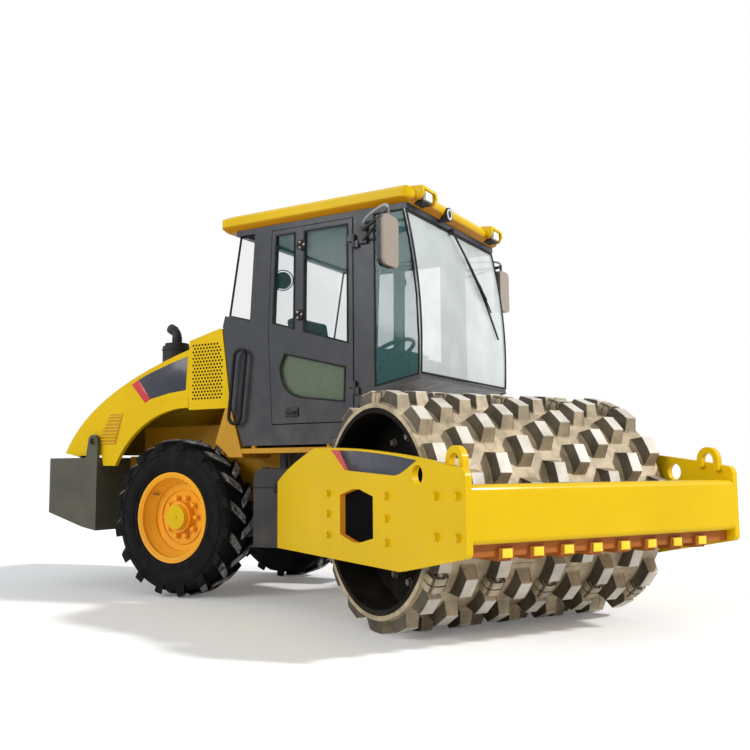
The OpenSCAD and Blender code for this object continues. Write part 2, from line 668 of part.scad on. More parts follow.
module tyre() {
  rotate([90, 0, 0]) rotate_extrude($fn = 96) polygon(concat(tyre_half, backward(mirrored(tyre_half))));
  intersection() {
    rotate([90, 0, 0]) rotate_extrude($fn = 96) polygon(concat(lug_half, backward(mirrored(lug_half))));
    for (s = [-1, 1]) for (i = [0:lug_count - 1]) rotate([0, (i + s / 4) * 360 / lug_count, 0])
      translate([0, 0, carcass_r - 100])
      linear_extrude(height = 200) polygon([[-112, s * (half_w + 11)], [-38, s * (half_w + 11)],
        [96, -s * 10], [44, -s * 10]]);
  }
}

// dished rim with its centre disc and hub
drop_r = bead_r - 44;
rim_t = 12;
hub_r = 112;
module wheel_rim() difference() {
  union() {
    rotate([90, 0, 0]) rotate_extrude($fn = 96)
      polygon([[rim_r + 2, rim_y], [rim_r + 2, rim_y - 9], [bead_r, rim_y - 15.5], [bead_r, rim_y - 46],
        [drop_r + 22, rim_y - 78],
        [drop_r, rim_y - 110], [drop_r, 92 - rim_y], [drop_r + 22, 70 - rim_y], [bead_r, 46 - rim_y],
          [bead_r, 15.5 - rim_y],
        [rim_r + 2, 9 - rim_y], [rim_r + 2, -rim_y], [rim_r - 8, -rim_y], [bead_r - rim_t, 9 - rim_y],
          [bead_r - rim_t, 42 - rim_y],
        [drop_r + 14, 62 - rim_y], [drop_r - rim_t, 88 - rim_y], [drop_r - rim_t, rim_y - 106],
          [drop_r + 12, rim_y - 74],
        [bead_r - rim_t, rim_y - 42], [bead_r - rim_t, rim_y - 9], [rim_r - 8, rim_y]]);
    rotate([90, 0, 0]) rotate_extrude($fn = 96)
      polygon([[0, -26], [150, -26], [160, -10], [drop_r - 6, 4], [drop_r - 6, 20], [154, 8], [140, 6],
        [0, 6]]);
    across(hub_r, -64, 0);
    across(hub_r - 18, -84, 0);
  }
  across(spindle_r + run, -50, 200);
}
module wheel_place(s) rear_place() translate([0, s * track_half, axle_z])
  mirror([0, s > 0 ? 1 : 0, 0]) children();
module tyre_right() color(black) wheel_place(-1) tyre();
module rim_right() color(yellow) wheel_place(-1) wheel_rim();
module tyre_left() color(black) wheel_place(1) tyre();
module rim_left() color(yellow) wheel_place(1) wheel_rim();

// steering cylinders, drawn along the line from their rear pin to the eye's place on the yoke
module cylinder_place(s) rear_place() translate([hitch_x + cyl_ax, s * cyl_y, cyl_z])
  rotate([0, 0, cyl_ang(s)]) children();
barrel_r = 40;
bore_end = 62;
module barrel() difference() {
  union() {
    up(ear_r - 2, 5 - ear_gap, ear_gap - 5);
    along(barrel_r - 10, 20, bore_end);
    along(barrel_r, 48, barrel_l - 30);
    along(barrel_r + 6, barrel_l - 40, barrel_l);
  }
  up(cyl_pin + run, -ear_gap - 5, ear_gap + 5);
  along(rod_r + run, bore_end, barrel_l + 5);
}
module rod(s) {
  along(rod_r, cyl_len(s) - rod_l, cyl_len(s) - 28);
  difference() {
    up(ear_r - 4, 10 - ear_gap, ear_gap - 10, cyl_len(s));
    up(cyl_pin, -ear_gap, ear_gap, cyl_len(s));
  }
}
module barrel_right() color(black) cylinder_place(-1) barrel();
module barrel_left() color(black) cylinder_place(1) barrel();
module rod_right() color(steel) cylinder_place(-1) rod(-1);
module rod_left() color(steel) cylinder_place(1) rod(1);

chassis();
rear_hitch();
rear_axle();
counterweight();
engine_block();
cowl();
step_boxes();
air_filter();
cab_floor();
cab_frame();
cab_roof();
windscreen();
rear_window();
side_glass();
seat();
console();
mirrors();
roof_lamps();
grab_handles();
door_right();
door_right_glass();
door_left();
door_left_glass();
hood();
hood_louvres();
muffler();
side_plates();
front_beam();
front_yoke();
scrapers();
drum_mounts();
lifting_hooks();
drum();
pad_shell_a();
pad_shell_b();
pad_shell_c();
tyre_right();
rim_right();
tyre_left();
rim_left();
barrel_right();
rod_right();
barrel_left();
rod_left();
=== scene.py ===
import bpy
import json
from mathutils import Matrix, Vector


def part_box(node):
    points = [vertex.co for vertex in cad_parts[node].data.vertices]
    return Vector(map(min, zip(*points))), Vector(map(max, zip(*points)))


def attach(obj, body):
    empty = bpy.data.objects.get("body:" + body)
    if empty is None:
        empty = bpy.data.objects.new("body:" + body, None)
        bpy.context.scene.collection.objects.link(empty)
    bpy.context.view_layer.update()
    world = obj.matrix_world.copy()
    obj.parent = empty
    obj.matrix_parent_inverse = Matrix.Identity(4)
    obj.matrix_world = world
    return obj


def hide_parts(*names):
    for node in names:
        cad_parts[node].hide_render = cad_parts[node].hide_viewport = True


bl_info = {
    "name": "Padfoot road roller",
    "version": (1, 0, 0),
    "blender": (4, 5, 0),
    "location": "3D View > Sidebar > Roller",
    "description": "Dresses the packed road roller with finishes, fittings, cab inside and a plain stage",
    "category": "Object",
}

import json
from math import atan2, cos, exp, radians, sin, sqrt, tau

import bpy
from bpy.props import FloatProperty, FloatVectorProperty, PointerProperty
from bpy.types import NodeSocket, Operator, Panel, PropertyGroup
from mathutils import Matrix, Vector

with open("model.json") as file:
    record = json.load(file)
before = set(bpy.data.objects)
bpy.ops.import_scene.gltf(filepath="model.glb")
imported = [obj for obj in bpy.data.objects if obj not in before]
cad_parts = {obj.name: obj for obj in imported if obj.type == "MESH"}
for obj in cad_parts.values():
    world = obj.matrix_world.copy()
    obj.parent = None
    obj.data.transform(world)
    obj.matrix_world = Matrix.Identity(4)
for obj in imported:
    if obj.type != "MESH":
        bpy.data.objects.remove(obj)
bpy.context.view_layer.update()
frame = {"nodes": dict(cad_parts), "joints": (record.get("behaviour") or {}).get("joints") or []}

JOINTS = {joint["name"]: joint for joint in frame["joints"]}
RIGHT_HUB = Vector(JOINTS["right_wheel_roll"]["pos_m"])
LEFT_HUB = Vector(JOINTS["left_wheel_roll"]["pos_m"])
HITCH = Vector(JOINTS["steering"]["pos_m"])
DRUM = Vector(JOINTS["drum_roll"]["pos_m"])
DRUM_AXIS = Vector(JOINTS["drum_roll"]["axis"])
STEER = atan2(-DRUM_AXIS.x, DRUM_AXIS.y)
TRACK = (LEFT_HUB.y - RIGHT_HUB.y) / 2
AXLE = Vector((0, 0, RIGHT_HUB.z))
# the rear frame's own place, with the axle over its zero, and the front frame's, with the steering pin over its zero
REAR = Matrix.Translation(((RIGHT_HUB.x + LEFT_HUB.x) / 2, (RIGHT_HUB.y + LEFT_HUB.y) / 2, 0))
FRONT = Matrix.Translation((HITCH.x, HITCH.y, 0)) @ Matrix.Rotation(STEER, 4, "Z")
ZERO = Matrix.Identity(4)
SIDES = ((-1, "right"), (1, "left"))


# finishes

class Nodes:
    """A node tree in the making. A finish has its object coordinates in coords."""

    def __init__(self, tree):
        self.tree = tree
        tree.nodes.clear()

    def feed(self, node, inputs):
        """Fills a node's sockets with values or links."""
        for key, value in inputs.items():
            if isinstance(value, NodeSocket):
                self.tree.links.new(value, node.inputs[key])
            else:
                node.inputs[key].default_value = value

    def add(self, kind, inputs=None, **settings):
        """Adds a node, sets its options and fills its sockets."""
        node = self.tree.nodes.new(kind)
        for key, value in settings.items():
            setattr(node, key, value)
        self.feed(node, inputs or {})
        return node

    def noise(self, scale, detail=4.0):
        inputs = {"Vector": self.coords, "Scale": scale, "Detail": detail}
        return self.add("ShaderNodeTexNoise", inputs).outputs["Fac"]

    def spread(self, value, low, high, to_low=0.0, to_high=1.0):
        """Maps low..high of a value to to_low..to_high, held at both ends."""
        inputs = {"Value": value, "From Min": low, "From Max": high, "To Min": to_low, "To Max": to_high}
        return self.add("ShaderNodeMapRange", inputs).outputs["Result"]

    def maths(self, operation, *values):
        return self.add("ShaderNodeMath", dict(enumerate(values)), operation=operation).outputs[0]

    def times(self, a, b):
        return self.maths("MULTIPLY", a, b)

    def blend(self, factor, a, b):
        def rgba(c):
            return c if isinstance(c, NodeSocket) else (*c[:3], 1.0)
        return self.add("ShaderNodeMixRGB", {"Fac": factor, "Color1": rgba(a), "Color2": rgba(b)}).outputs["Color"]

    def axes(self, vector):
        return self.add("ShaderNodeSeparateXYZ", {"Vector": vector}).outputs

    def radial(self, centre, turn):
        """Distance from an axle that lies along Y after a turn about Z, and the place along the axle."""
        def vectors(operation, *values):
            return self.add("ShaderNodeVectorMath", dict(enumerate(values)), operation=operation).outputs
        moved = vectors("ADD", self.coords, tuple(-c for c in centre))[0]
        turn_back = {"Vector": moved, "Angle": -turn}
        turned = self.add("ShaderNodeVectorRotate", turn_back, rotation_type="Z_AXIS").outputs[0]
        flat = vectors("MULTIPLY", turned, (1.0, 0.0, 1.0))[0]
        return vectors("LENGTH", flat)["Value"], self.axes(turned)["Y"]

    def relief(self, height, strength, depth):
        inputs = {"Height": height, "Strength": strength, "Distance": depth}
        return self.add("ShaderNodeBump", inputs).outputs["Normal"]

    def surface(self, shader, rough, grain, bump):
        """Uneven roughness and a fine bump at the finish's own grain."""
        worn = self.noise(14.0)
        self.feed(shader, {"Roughness": self.spread(worn, 0.3, 0.7, rough - 0.07, rough + 0.1),
                           "Normal": self.relief(self.noise(grain, 2.0), bump, 0.002)})


def blank(name):
    """Nodes of a new material with only its shader, and that shader."""
    material = bpy.data.materials.new(name)
    material.use_nodes = True
    n = Nodes(material.node_tree)
    shader = n.add("ShaderNodeBsdfPrincipled")
    n.add("ShaderNodeOutputMaterial", {"Surface": shader.outputs["BSDF"]})
    n.coords = n.add("ShaderNodeTexCoord").outputs["Object"]
    return n, shader


def shade(colour, amount):
    return tuple(min(1.0, c * amount) for c in colour[:3])


DUST = (0.30, 0.24, 0.17)


def weathered(name, colour, rough=0.4, metal=0.0, vary=0.08, grain=300.0, bump=0.05, dust=None,
              coat=0.0, gloss=0.3, low=None, reveal=None):
    """Paint, plastic or plain steel: a colour that drifts a little, specks, and dust that thins out with height.

    dust gives its amount at the floor and the height where it ends, low another colour short of an edge along one
    axis, reveal another one inside an opening of the side plates; both carry painted shade where they are used.
    """
    n, shader = blank(name)
    drift = n.spread(n.noise(1.7), 0.3, 0.7)
    out = n.blend(drift, shade(colour, 1 - vary), shade(colour, 1 + vary))
    place = n.axes(n.coords)
    if low:
        axis, edge, soft, low_colour = low
        out = n.blend(n.spread(place[axis], edge - soft, edge + soft), low_colour, out)
    if reveal:
        centre, radius, face, reveal_shade = reveal
        reach, along = n.radial(centre, STEER)
        aside = n.maths("ABSOLUTE", along)
        within = n.times(n.spread(reach, radius, radius + 0.002, 1.0, 0.0),
                         n.spread(aside, face - 0.001, face, 1.0, 0.0))
        out = n.blend(within, out, reveal_shade)
    specks = n.spread(n.noise(55.0, 6.0), 0.62, 0.75)
    out = n.blend(n.times(specks, 0.25), out, shade(colour, 0.45))
    if dust:
        amount, top = dust
        near_floor = n.spread(place["Z"], 0.0, top, 1.0, 0.0)
        film = n.times(near_floor, n.spread(n.noise(7.0, 8.0), 0.35, 0.75))
        out = n.blend(n.times(film, amount), out, DUST)
    n.feed(shader, {"Base Color": out, "Metallic": metal, "Coat Weight": coat, "Coat Roughness": 0.12,
                    "Specular IOR Level": gloss})
    n.surface(shader, rough, grain, bump)


PAD_RING = 0.193
# reach from the axle: from the shells' skin to the pads' feet, and from the pads' sides to their tops
PAD_FOOT = (0.613, 0.622)
PAD_TOP = (0.6845, 0.6868)
# a pad's side leans in by 10 mm over its 91 mm height
PAD_LEAN = 0.1104
# where the painted shade on the pads' sides begins
PAD_SIDE_SHADE = (0.1104, 0.1119)
PAD_HALF = (0.049, 0.051)
WORN_TOP = (0.64, 0.60, 0.53)


def pad_steel(name, colour):
    """Cast pads: rubbed pale on top, tan ahead and behind, and painted shade on the sides that face along the axle."""
    n, shader = blank(name)
    reach, along = n.radial(DRUM, STEER)
    patches = n.spread(n.noise(6.0, 8.0), 0.38, 0.62)

    def patchy(low, high):
        return n.blend(patches, shade(colour, low), shade(colour, high))

    proud = n.spread(reach, *PAD_FOOT)
    out = n.blend(proud, patchy(0.66, 1.0), patchy(0.5, 0.8))
    grime = n.spread(n.noise(21.0, 9.0), 0.48, 0.66)
    out = n.blend(n.times(grime, 0.5), out, shade(colour, 0.36))
    off = n.maths("PINGPONG", along, PAD_RING / 2)
    lean = n.maths("MULTIPLY_ADD", reach, PAD_LEAN, off)
    # painted shade: the pads' sides that face along the axle are darkened in colour, standing in for their shadows
    side = n.times(n.spread(lean, *PAD_SIDE_SHADE), n.spread(off, *PAD_HALF, 1.0, 0.0))
    out = n.blend(n.times(side, proud), out, patchy(0.09, 0.2))
    worn = n.times(n.spread(reach, *PAD_TOP), n.spread(patches, 0.0, 1.0, 0.6, 1.0))
    n.feed(shader, {"Base Color": n.blend(worn, out, WORN_TOP), "Metallic": 0.15})
    n.surface(shader, 0.58, 90.0, 0.35)


LUG_TIP = (0.564, 0.575)
TIP_HIGHLIGHT = (0.44, 0.43, 0.41)


def tread_rubber(name, colour, hub):
    """Rubber with a dull film, and a painted highlight on the tips of the lugs."""
    n, shader = blank(name)
    reach, _ = n.radial(hub, 0.0)
    cloud = n.spread(n.noise(9.0, 6.0), 0.35, 0.7)
    out = n.blend(cloud, shade(colour, 0.8), shade(colour, 1.5))
    # painted highlight: the lug tips are blended towards a pale grey
    tip_highlight = n.times(n.spread(reach, *LUG_TIP), n.spread(n.noise(26.0, 8.0), 0.3, 0.6))
    n.feed(shader, {"Base Color": n.blend(n.times(tip_highlight, 0.85), out, TIP_HIGHLIGHT), "Specular IOR Level": 0.12})
    n.surface(shader, 0.72, 160.0, 0.2)


BARE_COVER = 0.04
PANE_ROUGH = 0.04


def clear_pane(name, colour, cover, bare_behind=None, low=None):
    """Tinted pane with faint wipe marks; hardly any tint behind the given x, or another tint below the given height."""
    n, shader = blank(name)
    place = n.axes(n.coords)
    streak = n.spread(n.noise(4.0, 3.0), 0.4, 0.7)
    tint = n.blend(streak, shade(colour, 0.92), shade(colour, 1.06))
    if bare_behind is not None:
        cover = n.spread(place["X"], bare_behind - 0.01, bare_behind + 0.01, BARE_COVER, cover)
    if low:
        edge, low_colour, low_cover = low
        above = n.spread(place["Z"], edge - 0.01, edge + 0.01)
        tint = n.blend(above, low_colour, tint)
        cover = n.spread(above, 0.0, 1.0, low_cover, cover)
    rough = n.spread(streak, 0.0, 1.0, PANE_ROUGH, PANE_ROUGH + 0.05)
    n.feed(shader, {"Base Color": tint, "Alpha": cover, "Roughness": rough, "Specular IOR Level": 0.5})


def seat_weave(name, colour):
    """Woven seat cover with a fine twill and worn patches."""
    n, shader = blank(name)
    twill = n.add("ShaderNodeTexWave", {"Vector": n.coords, "Scale": 160.0, "Distortion": 0.6},
                  bands_direction="DIAGONAL")
    worn = n.spread(n.noise(9.0), 0.35, 0.7)
    n.feed(shader, {"Base Color": n.blend(worn, shade(colour, 0.8), shade(colour, 1.5)),
                    "Normal": n.relief(twill.outputs["Fac"], 0.35, 0.001),
                    "Roughness": 0.85, "Sheen Weight": 0.3})


# modelling

def alone(*pieces):
    """Selects only these pieces, the last one active."""
    if bpy.context.object and bpy.context.object.mode != "OBJECT":
        bpy.ops.object.mode_set(mode="OBJECT")
    bpy.ops.object.select_all(action="DESELECT")
    for piece in pieces:
        piece.select_set(True)
        bpy.context.view_layer.objects.active = piece


def settle(name, place):
    """Names the active piece, moves it to its frame and puts its place into its mesh."""
    piece = bpy.context.object
    piece.name = piece.data.name = name
    piece.matrix_world = place @ piece.matrix_world
    bpy.ops.object.transform_apply()
    return piece


def editing(piece):
    alone(piece)
    bpy.ops.object.mode_set(mode="EDIT")
    bpy.ops.mesh.select_all(action="SELECT")


def block(name, corner, opposite, edge=0.004, place=REAR, steps=2):
    """A block between two opposite corners, with eased edges."""
    low, high = (Vector([pick(pair) for pair in zip(corner, opposite)]) for pick in (min, max))
    alone()
    bpy.ops.mesh.primitive_cube_add(size=1, location=(low + high) / 2)
    bpy.context.object.scale = high - low
    bpy.ops.object.transform_apply()
    editing(bpy.context.object)
    bpy.ops.mesh.bevel(offset=edge, segments=steps, affect="EDGES")
    bpy.ops.object.mode_set(mode="OBJECT")
    return settle(name, place)


def turned_to(axis):
    """The turn that takes Z to an axis."""
    return Vector(axis).to_track_quat("Z", "Y")


def spindle(name, start, end, radius, edge=0.003, place=REAR, sides=32, steps=2):
    """A round bar from start to end with eased rims."""
    start, end = Vector(start), Vector(end)
    alone()
    bpy.ops.mesh.primitive_cylinder_add(
        vertices=sides, radius=radius, depth=(end - start).length, location=(start + end) / 2,
        rotation=turned_to(end - start).to_euler())
    editing(bpy.context.object)
    bpy.ops.mesh.select_all(action="DESELECT")
    bpy.ops.mesh.select_face_by_sides(number=sides)
    bpy.ops.mesh.region_to_loop()
    bpy.ops.mesh.bevel(offset=edge, segments=steps, affect="EDGES")
    bpy.ops.object.mode_set(mode="OBJECT")
    return settle(name, place)


def sheet_form(name, points, depth, place=REAR, border=0.0, edge=0.0):
    """An outline given its depth, either full or as a border of that width."""
    alone()
    bpy.ops.mesh.primitive_circle_add(vertices=len(points), fill_type="NGON")
    piece = bpy.context.object
    for vertex, point in zip(piece.data.vertices, points):
        vertex.co = point
    editing(piece)
    if border:
        bpy.ops.mesh.inset(thickness=border, depth=0)
        bpy.ops.mesh.delete(type="FACE")
        bpy.ops.mesh.select_all(action="SELECT")
    bpy.ops.mesh.extrude_region_move(TRANSFORM_OT_translate={"value": depth})
    bpy.ops.mesh.select_all(action="SELECT")
    bpy.ops.mesh.normals_make_consistent(inside=False)
    if edge:
        bpy.ops.mesh.bevel(offset=edge, segments=2, affect="EDGES")
    bpy.ops.object.mode_set(mode="OBJECT")
    return settle(name, place)


def side_sheet(name, points, s, y, thick, *place, **border):
    """A sheet from its side view, x and z, with its inner face at y on side s."""
    return sheet_form(name, [(x, s * y, z) for x, z in points], (0, s * thick, 0), *place, **border)


def hoop(name, centre, axis, radius, thick, round_steps=64):
    """A ring of round bar."""
    alone()
    bpy.ops.mesh.primitive_torus_add(
        major_radius=radius, minor_radius=thick, major_segments=round_steps, minor_segments=10, location=centre,
        rotation=turned_to(axis).to_euler())
    return settle(name, REAR)


def pipe(name, points, radius):
    """A tube that follows the points."""
    alone()
    bpy.ops.curve.primitive_bezier_curve_add()
    curve = bpy.context.object.data
    curve.splines.clear()
    spline = curve.splines.new("NURBS")
    spline.points.add(len(points) - 1)
    for slot, point in zip(spline.points, points):
        slot.co = (*point, 1.0)
    spline.order_u = 3
    spline.use_endpoint_u = True
    curve.resolution_u = 8
    curve.bevel_depth = radius
    curve.bevel_resolution = 4
    curve.use_fill_caps = True
    bpy.ops.object.convert(target="MESH")
    return settle(name, REAR)


def joined(name, pieces):
    alone(*pieces)
    if len(pieces) > 1:
        bpy.ops.object.join()
    piece = bpy.context.object
    piece.name = piece.data.name = name
    return piece


def repeated(name, master, places):
    """Copies of a piece made round its own zero, one at each place, as one object."""
    copies = []
    for place in places:
        copy = master.copy()
        copy.data = master.data.copy()
        copy.matrix_world = place
        bpy.context.collection.objects.link(copy)
        copies.append(copy)
    bpy.data.objects.remove(master)
    alone(*copies)
    bpy.ops.object.transform_apply()
    return joined(name, copies)


def facing(centre, normal, place=REAR):
    """Where a piece that was made standing on zero, along Z, goes."""
    return place @ Matrix.Translation(centre) @ turned_to(normal).to_matrix().to_4x4()


def on_ring(centre, radius, angle, y):
    """A spot on a ring that stands along the machine, at y."""
    return Vector((centre.x + radius * cos(angle), y, centre.z + radius * sin(angle)))


def dress(piece, material, body="rear_unit", slot="black_plastic", angle=35.0):
    """Finish, smooth shading and body of a piece; the slot is not used."""
    piece.data.materials.clear()
    piece.data.materials.append(finish(material))
    alone(piece)
    bpy.ops.object.shade_smooth_by_angle(angle=radians(angle))
    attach(piece, body)
    return piece


def fit(name, parts, *where):
    """Parts joined and dressed as one piece; finish, body and slot follow the parts."""
    return dress(joined(name, parts), *where)


def bolts(name, size, spots, *where):
    """Washers with six-sided heads, one at each spot, dressed as one piece."""
    thick, top = size * 0.16, size * 0.62
    washer = spindle("washer", (0, 0, 0), (0, 0, thick), top, size * 0.04, ZERO, 20)
    head = spindle("head", (0, 0, thick), (0, 0, top), size * 0.5, size * 0.05, ZERO, 6)
    return dress(repeated(name, joined("bolt", [washer, head]), spots), *where)


def sizes():
    return bpy.context.scene.roller_sizes


def finish(name):
    material = bpy.data.materials.get(name)
    if material is None:
        raise RuntimeError("make the finishes first: " + name)
    return material


RGB = {"size": 3, "min": 0, "max": 1}


class RollerLooks(PropertyGroup):
    """Colours of the finishes."""
    yellow: FloatVectorProperty(
        name="Yellow paint", description="Paint of hood, roof and front frame", subtype="COLOR",
        default=(0.70, 0.45, 0.002), **RGB)
    grey: FloatVectorProperty(
        name="Cab grey", description="Paint of the cab's posts and doors", subtype="COLOR",
        default=(0.019, 0.022, 0.029), **RGB)
    black: FloatVectorProperty(
        name="Black", description="Black paint and plastic", subtype="COLOR", default=(0.018, 0.018, 0.019), **RGB)
    navy: FloatVectorProperty(
        name="Navy", description="Plain dark panels", subtype="COLOR", default=(0.012, 0.014, 0.032), **RGB)
    red: FloatVectorProperty(
        name="Red", description="Slanted ends of the dark panels", subtype="COLOR", default=(0.55, 0.018, 0.02), **RGB)
    rubber: FloatVectorProperty(
        name="Rubber", description="Tyres and seals", subtype="COLOR", default=(0.0055, 0.0055, 0.0058), **RGB)
    pads: FloatVectorProperty(
        name="Pad steel", description="Cast pads of the drum", subtype="COLOR", default=(0.56, 0.45, 0.29), **RGB)
    glass: FloatVectorProperty(
        name="Glass tint", description="Tint of the panes", subtype="COLOR", default=(0.028, 0.15, 0.145), **RGB)


class RollerSizes(PropertyGroup):
    """Sizes of the fittings."""
    bolt: FloatProperty(
        name="Plate bolt", description="Width over the bolt heads of the side plates", unit="LENGTH",
        default=0.036, min=0.02, max=0.06)
    nut: FloatProperty(
        name="Wheel nut", description="Width over the wheel nuts", unit="LENGTH", default=0.034, min=0.02, max=0.05)
    hole: FloatProperty(
        name="Cowl hole", description="Radius of the cowl's holes", unit="LENGTH", default=0.0092, min=0.004, max=0.012)
    pitch: FloatProperty(
        name="Hole pitch", description="Distance between the cowl's holes", unit="LENGTH",
        default=0.029, min=0.02, max=0.05)
    seal: FloatProperty(
        name="Window seal", description="Width of the rubber round the panes", unit="LENGTH",
        default=0.011, min=0.006, max=0.03)


PLATE_Y = 0.939
PLATE_WINDOW = Vector((1.285, 0.0, 0.661))
HOOD_Y = 0.722
CAB_Y = 0.740


class ROLLER_OT_finishes(Operator):
    """Make every finish and give the CAD nodes theirs"""
    bl_idname = "roller.finishes"
    bl_label = "Finishes"

    def execute(self, context):
        c = context.scene.roller_looks
        sheet_paint = {"rough": 0.38, "vary": 0.06, "dust": (0.14, 0.7), "coat": 0.05, "gloss": 0.1}
        weathered("machine_yellow", c.yellow, **sheet_paint)
        # amber inside the plate window: the yellow paint in painted shade
        reveal = (FRONT @ PLATE_WINDOW, 0.236, PLATE_Y, (0.95, 0.36, 0.02))
        weathered("plate_paint", c.yellow, reveal=reveal, **sheet_paint)
        # below 2.716 m the roof paint turns orange: painted shade on the roof's lower edge and the lamp hoods' inner
        # walls
        weathered("roof_paint", c.yellow, rough=0.36, vary=0.06, coat=0.05, gloss=0.1,
                  low=("Z", 2.716, 0.012, (0.50, 0.20, 0.002)))
        weathered("clip_yellow", (0.85, 0.62, 0.03), rough=0.45)
        # orange: the rims' yellow paint in painted shade, also on the wheel nuts and lock rings
        weathered("rim_paint", (0.86, 0.385, 0.02), rough=0.45, vary=0.1, dust=(0.25, 0.7), gloss=0.15)
        # reddish brown: the scraper bar's paint in painted shade under the beam
        weathered("shaded_scraper_paint", (0.36, 0.10, 0.006), rough=0.5, vary=0.2, dust=(0.2, 0.8))
        # orange-brown: the yellow paint of chassis, engine block and louvre backs in painted shade
        weathered("shaded_frame_paint", (0.52, 0.25, 0.004), rough=0.5, vary=0.12, dust=(0.6, 1.2))
        weathered("cab_grey", c.grey, rough=0.42, vary=0.12, dust=(0.42, 2.0), coat=0.15)
        weathered("ballast_grey", (0.075, 0.072, 0.052), rough=0.55, vary=0.15, dust=(0.3, 1.1))
        weathered("satin_black", c.black, rough=0.45, vary=0.2, dust=(0.35, 1.0))
        weathered("grained_black", shade(c.black, 1.3), rough=0.58, vary=0.15, grain=700.0, bump=0.25,
                  dust=(0.25, 1.0))
        weathered("hot_black", shade(c.black, 0.9), rough=0.6, vary=0.3, grain=400.0, bump=0.2)
        # near black: the drum's steel in painted shade, as its inside lies in shadow
        weathered("shaded_drum_steel", (0.009, 0.008, 0.007), rough=0.7, vary=0.3, dust=(0.12, 0.5), gloss=0.06)
        weathered("bolt_steel", (0.30, 0.27, 0.22), metal=0.75, vary=0.2)
        weathered("polished_chrome", (0.72, 0.72, 0.72), rough=0.12, metal=1.0, vary=0.04, bump=0.01)
        weathered("navy_panel", c.navy, rough=0.3, vary=0.1, coat=0.4)
        weathered("red_panel", c.red, rough=0.3, coat=0.4)
        weathered("seal_rubber", c.rubber, rough=0.7, vary=0.2, grain=500.0, bump=0.1)
        # near black for painted shade: the cowl's holes, the pipe's mouth, the rings round the clamp bolts and the drum
        # mounts behind the plate window
        weathered("painted_shade_black", (0.004, 0.004, 0.004), rough=0.8, vary=0.2, gloss=0.02)
        weathered("lamp_lens", (0.80, 0.82, 0.80), rough=0.12, vary=0.05, coat=0.5)
        weathered("red_lens", (0.42, 0.015, 0.012), rough=0.15, vary=0.1, coat=0.5)
        weathered("amber_lens", (0.75, 0.24, 0.01), rough=0.15, vary=0.1, coat=0.5)
        weathered("mirror_glass", (0.75, 0.79, 0.80), rough=0.04, metal=1.0, vary=0.02, bump=0.0)
        pad_steel("worn_pads", c.pads)
        tread_rubber("right_rubber", c.rubber, RIGHT_HUB)
        tread_rubber("left_rubber", c.rubber, LEFT_HUB)
        # below 1.75 m the door panes get an olive tint and less cover: a painted reflection of the ground
        clear_pane("side_pane", c.glass, 0.13, low=(1.75, (0.17, 0.22, 0.14), 0.5))
        clear_pane("corner_pane", c.glass, 0.32, bare_behind=REAR.translation.x + 1.0)
        clear_pane("quarter_pane", (0.75, 0.82, 0.80), 0.04)
        # the windscreen's pale, whitish tint and heavy cover are a painted reflection of the sky
        clear_pane("front_pane", (0.78, 0.83, 0.81), 0.42)
        # near black short of the front faces: the arms and brackets are dark, and the heads' sides and bottoms carry
        # painted shade
        weathered("mirror_shell", (0.30, 0.25, 0.20), vary=0.06,
                  low=("X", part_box("mirrors")[1].x - 0.02, 0.009, (0.02, 0.019, 0.019)))
        weathered("loop_grey", (0.34, 0.36, 0.34), vary=0.06)
        seat_weave("seat_twill", (0.035, 0.036, 0.04))
        seat_weave("lining_cloth", (0.12, 0.22, 0.22))
        plan = {
            "machine_yellow": "cowl hood hood_louvres front_beam front_yoke lifting_hooks",
            "plate_paint": "side_plates", "shaded_scraper_paint": "scrapers", "rim_paint": "rim_right rim_left",
            "roof_paint": "cab_roof", "shaded_frame_paint": "chassis engine_block",
            "cab_grey": "cab_floor cab_frame door_right door_left", "ballast_grey": "counterweight",
            "satin_black": "rear_hitch rear_axle air_filter barrel_right barrel_left", "seal_rubber": "grab_handles",
            "hot_black": "muffler", "painted_shade_black": "drum_mounts", "grained_black": "step_boxes console roof_lamps",
            "mirror_shell": "mirrors", "seat_twill": "seat", "quarter_pane": "rear_window",
            "corner_pane": "side_glass", "side_pane": "door_right_glass door_left_glass", "front_pane": "windscreen",
            "worn_pads": "pad_shell_a pad_shell_b pad_shell_c", "shaded_drum_steel": "drum",
            "polished_chrome": "rod_right rod_left", "right_rubber": "tyre_right", "left_rubber": "tyre_left"
        }
        for material, nodes in plan.items():
            for node in nodes.split():
                slots = frame["nodes"][node].data.materials
                slots.clear()
                slots.append(finish(material))
        return {"FINISHED"}


WHEEL_NUTS = 10
NUT_RING = 0.146
VALVE_TURN = 2.45
# radius, and distance out from the wheel's middle
VALVE_ROUTE = ((0.255, 0.06), (0.262, 0.085), (0.272, 0.11))
WALL_RIBS = ((0.372, 0.1505), (0.398, 0.1535), (0.47, 0.1535))


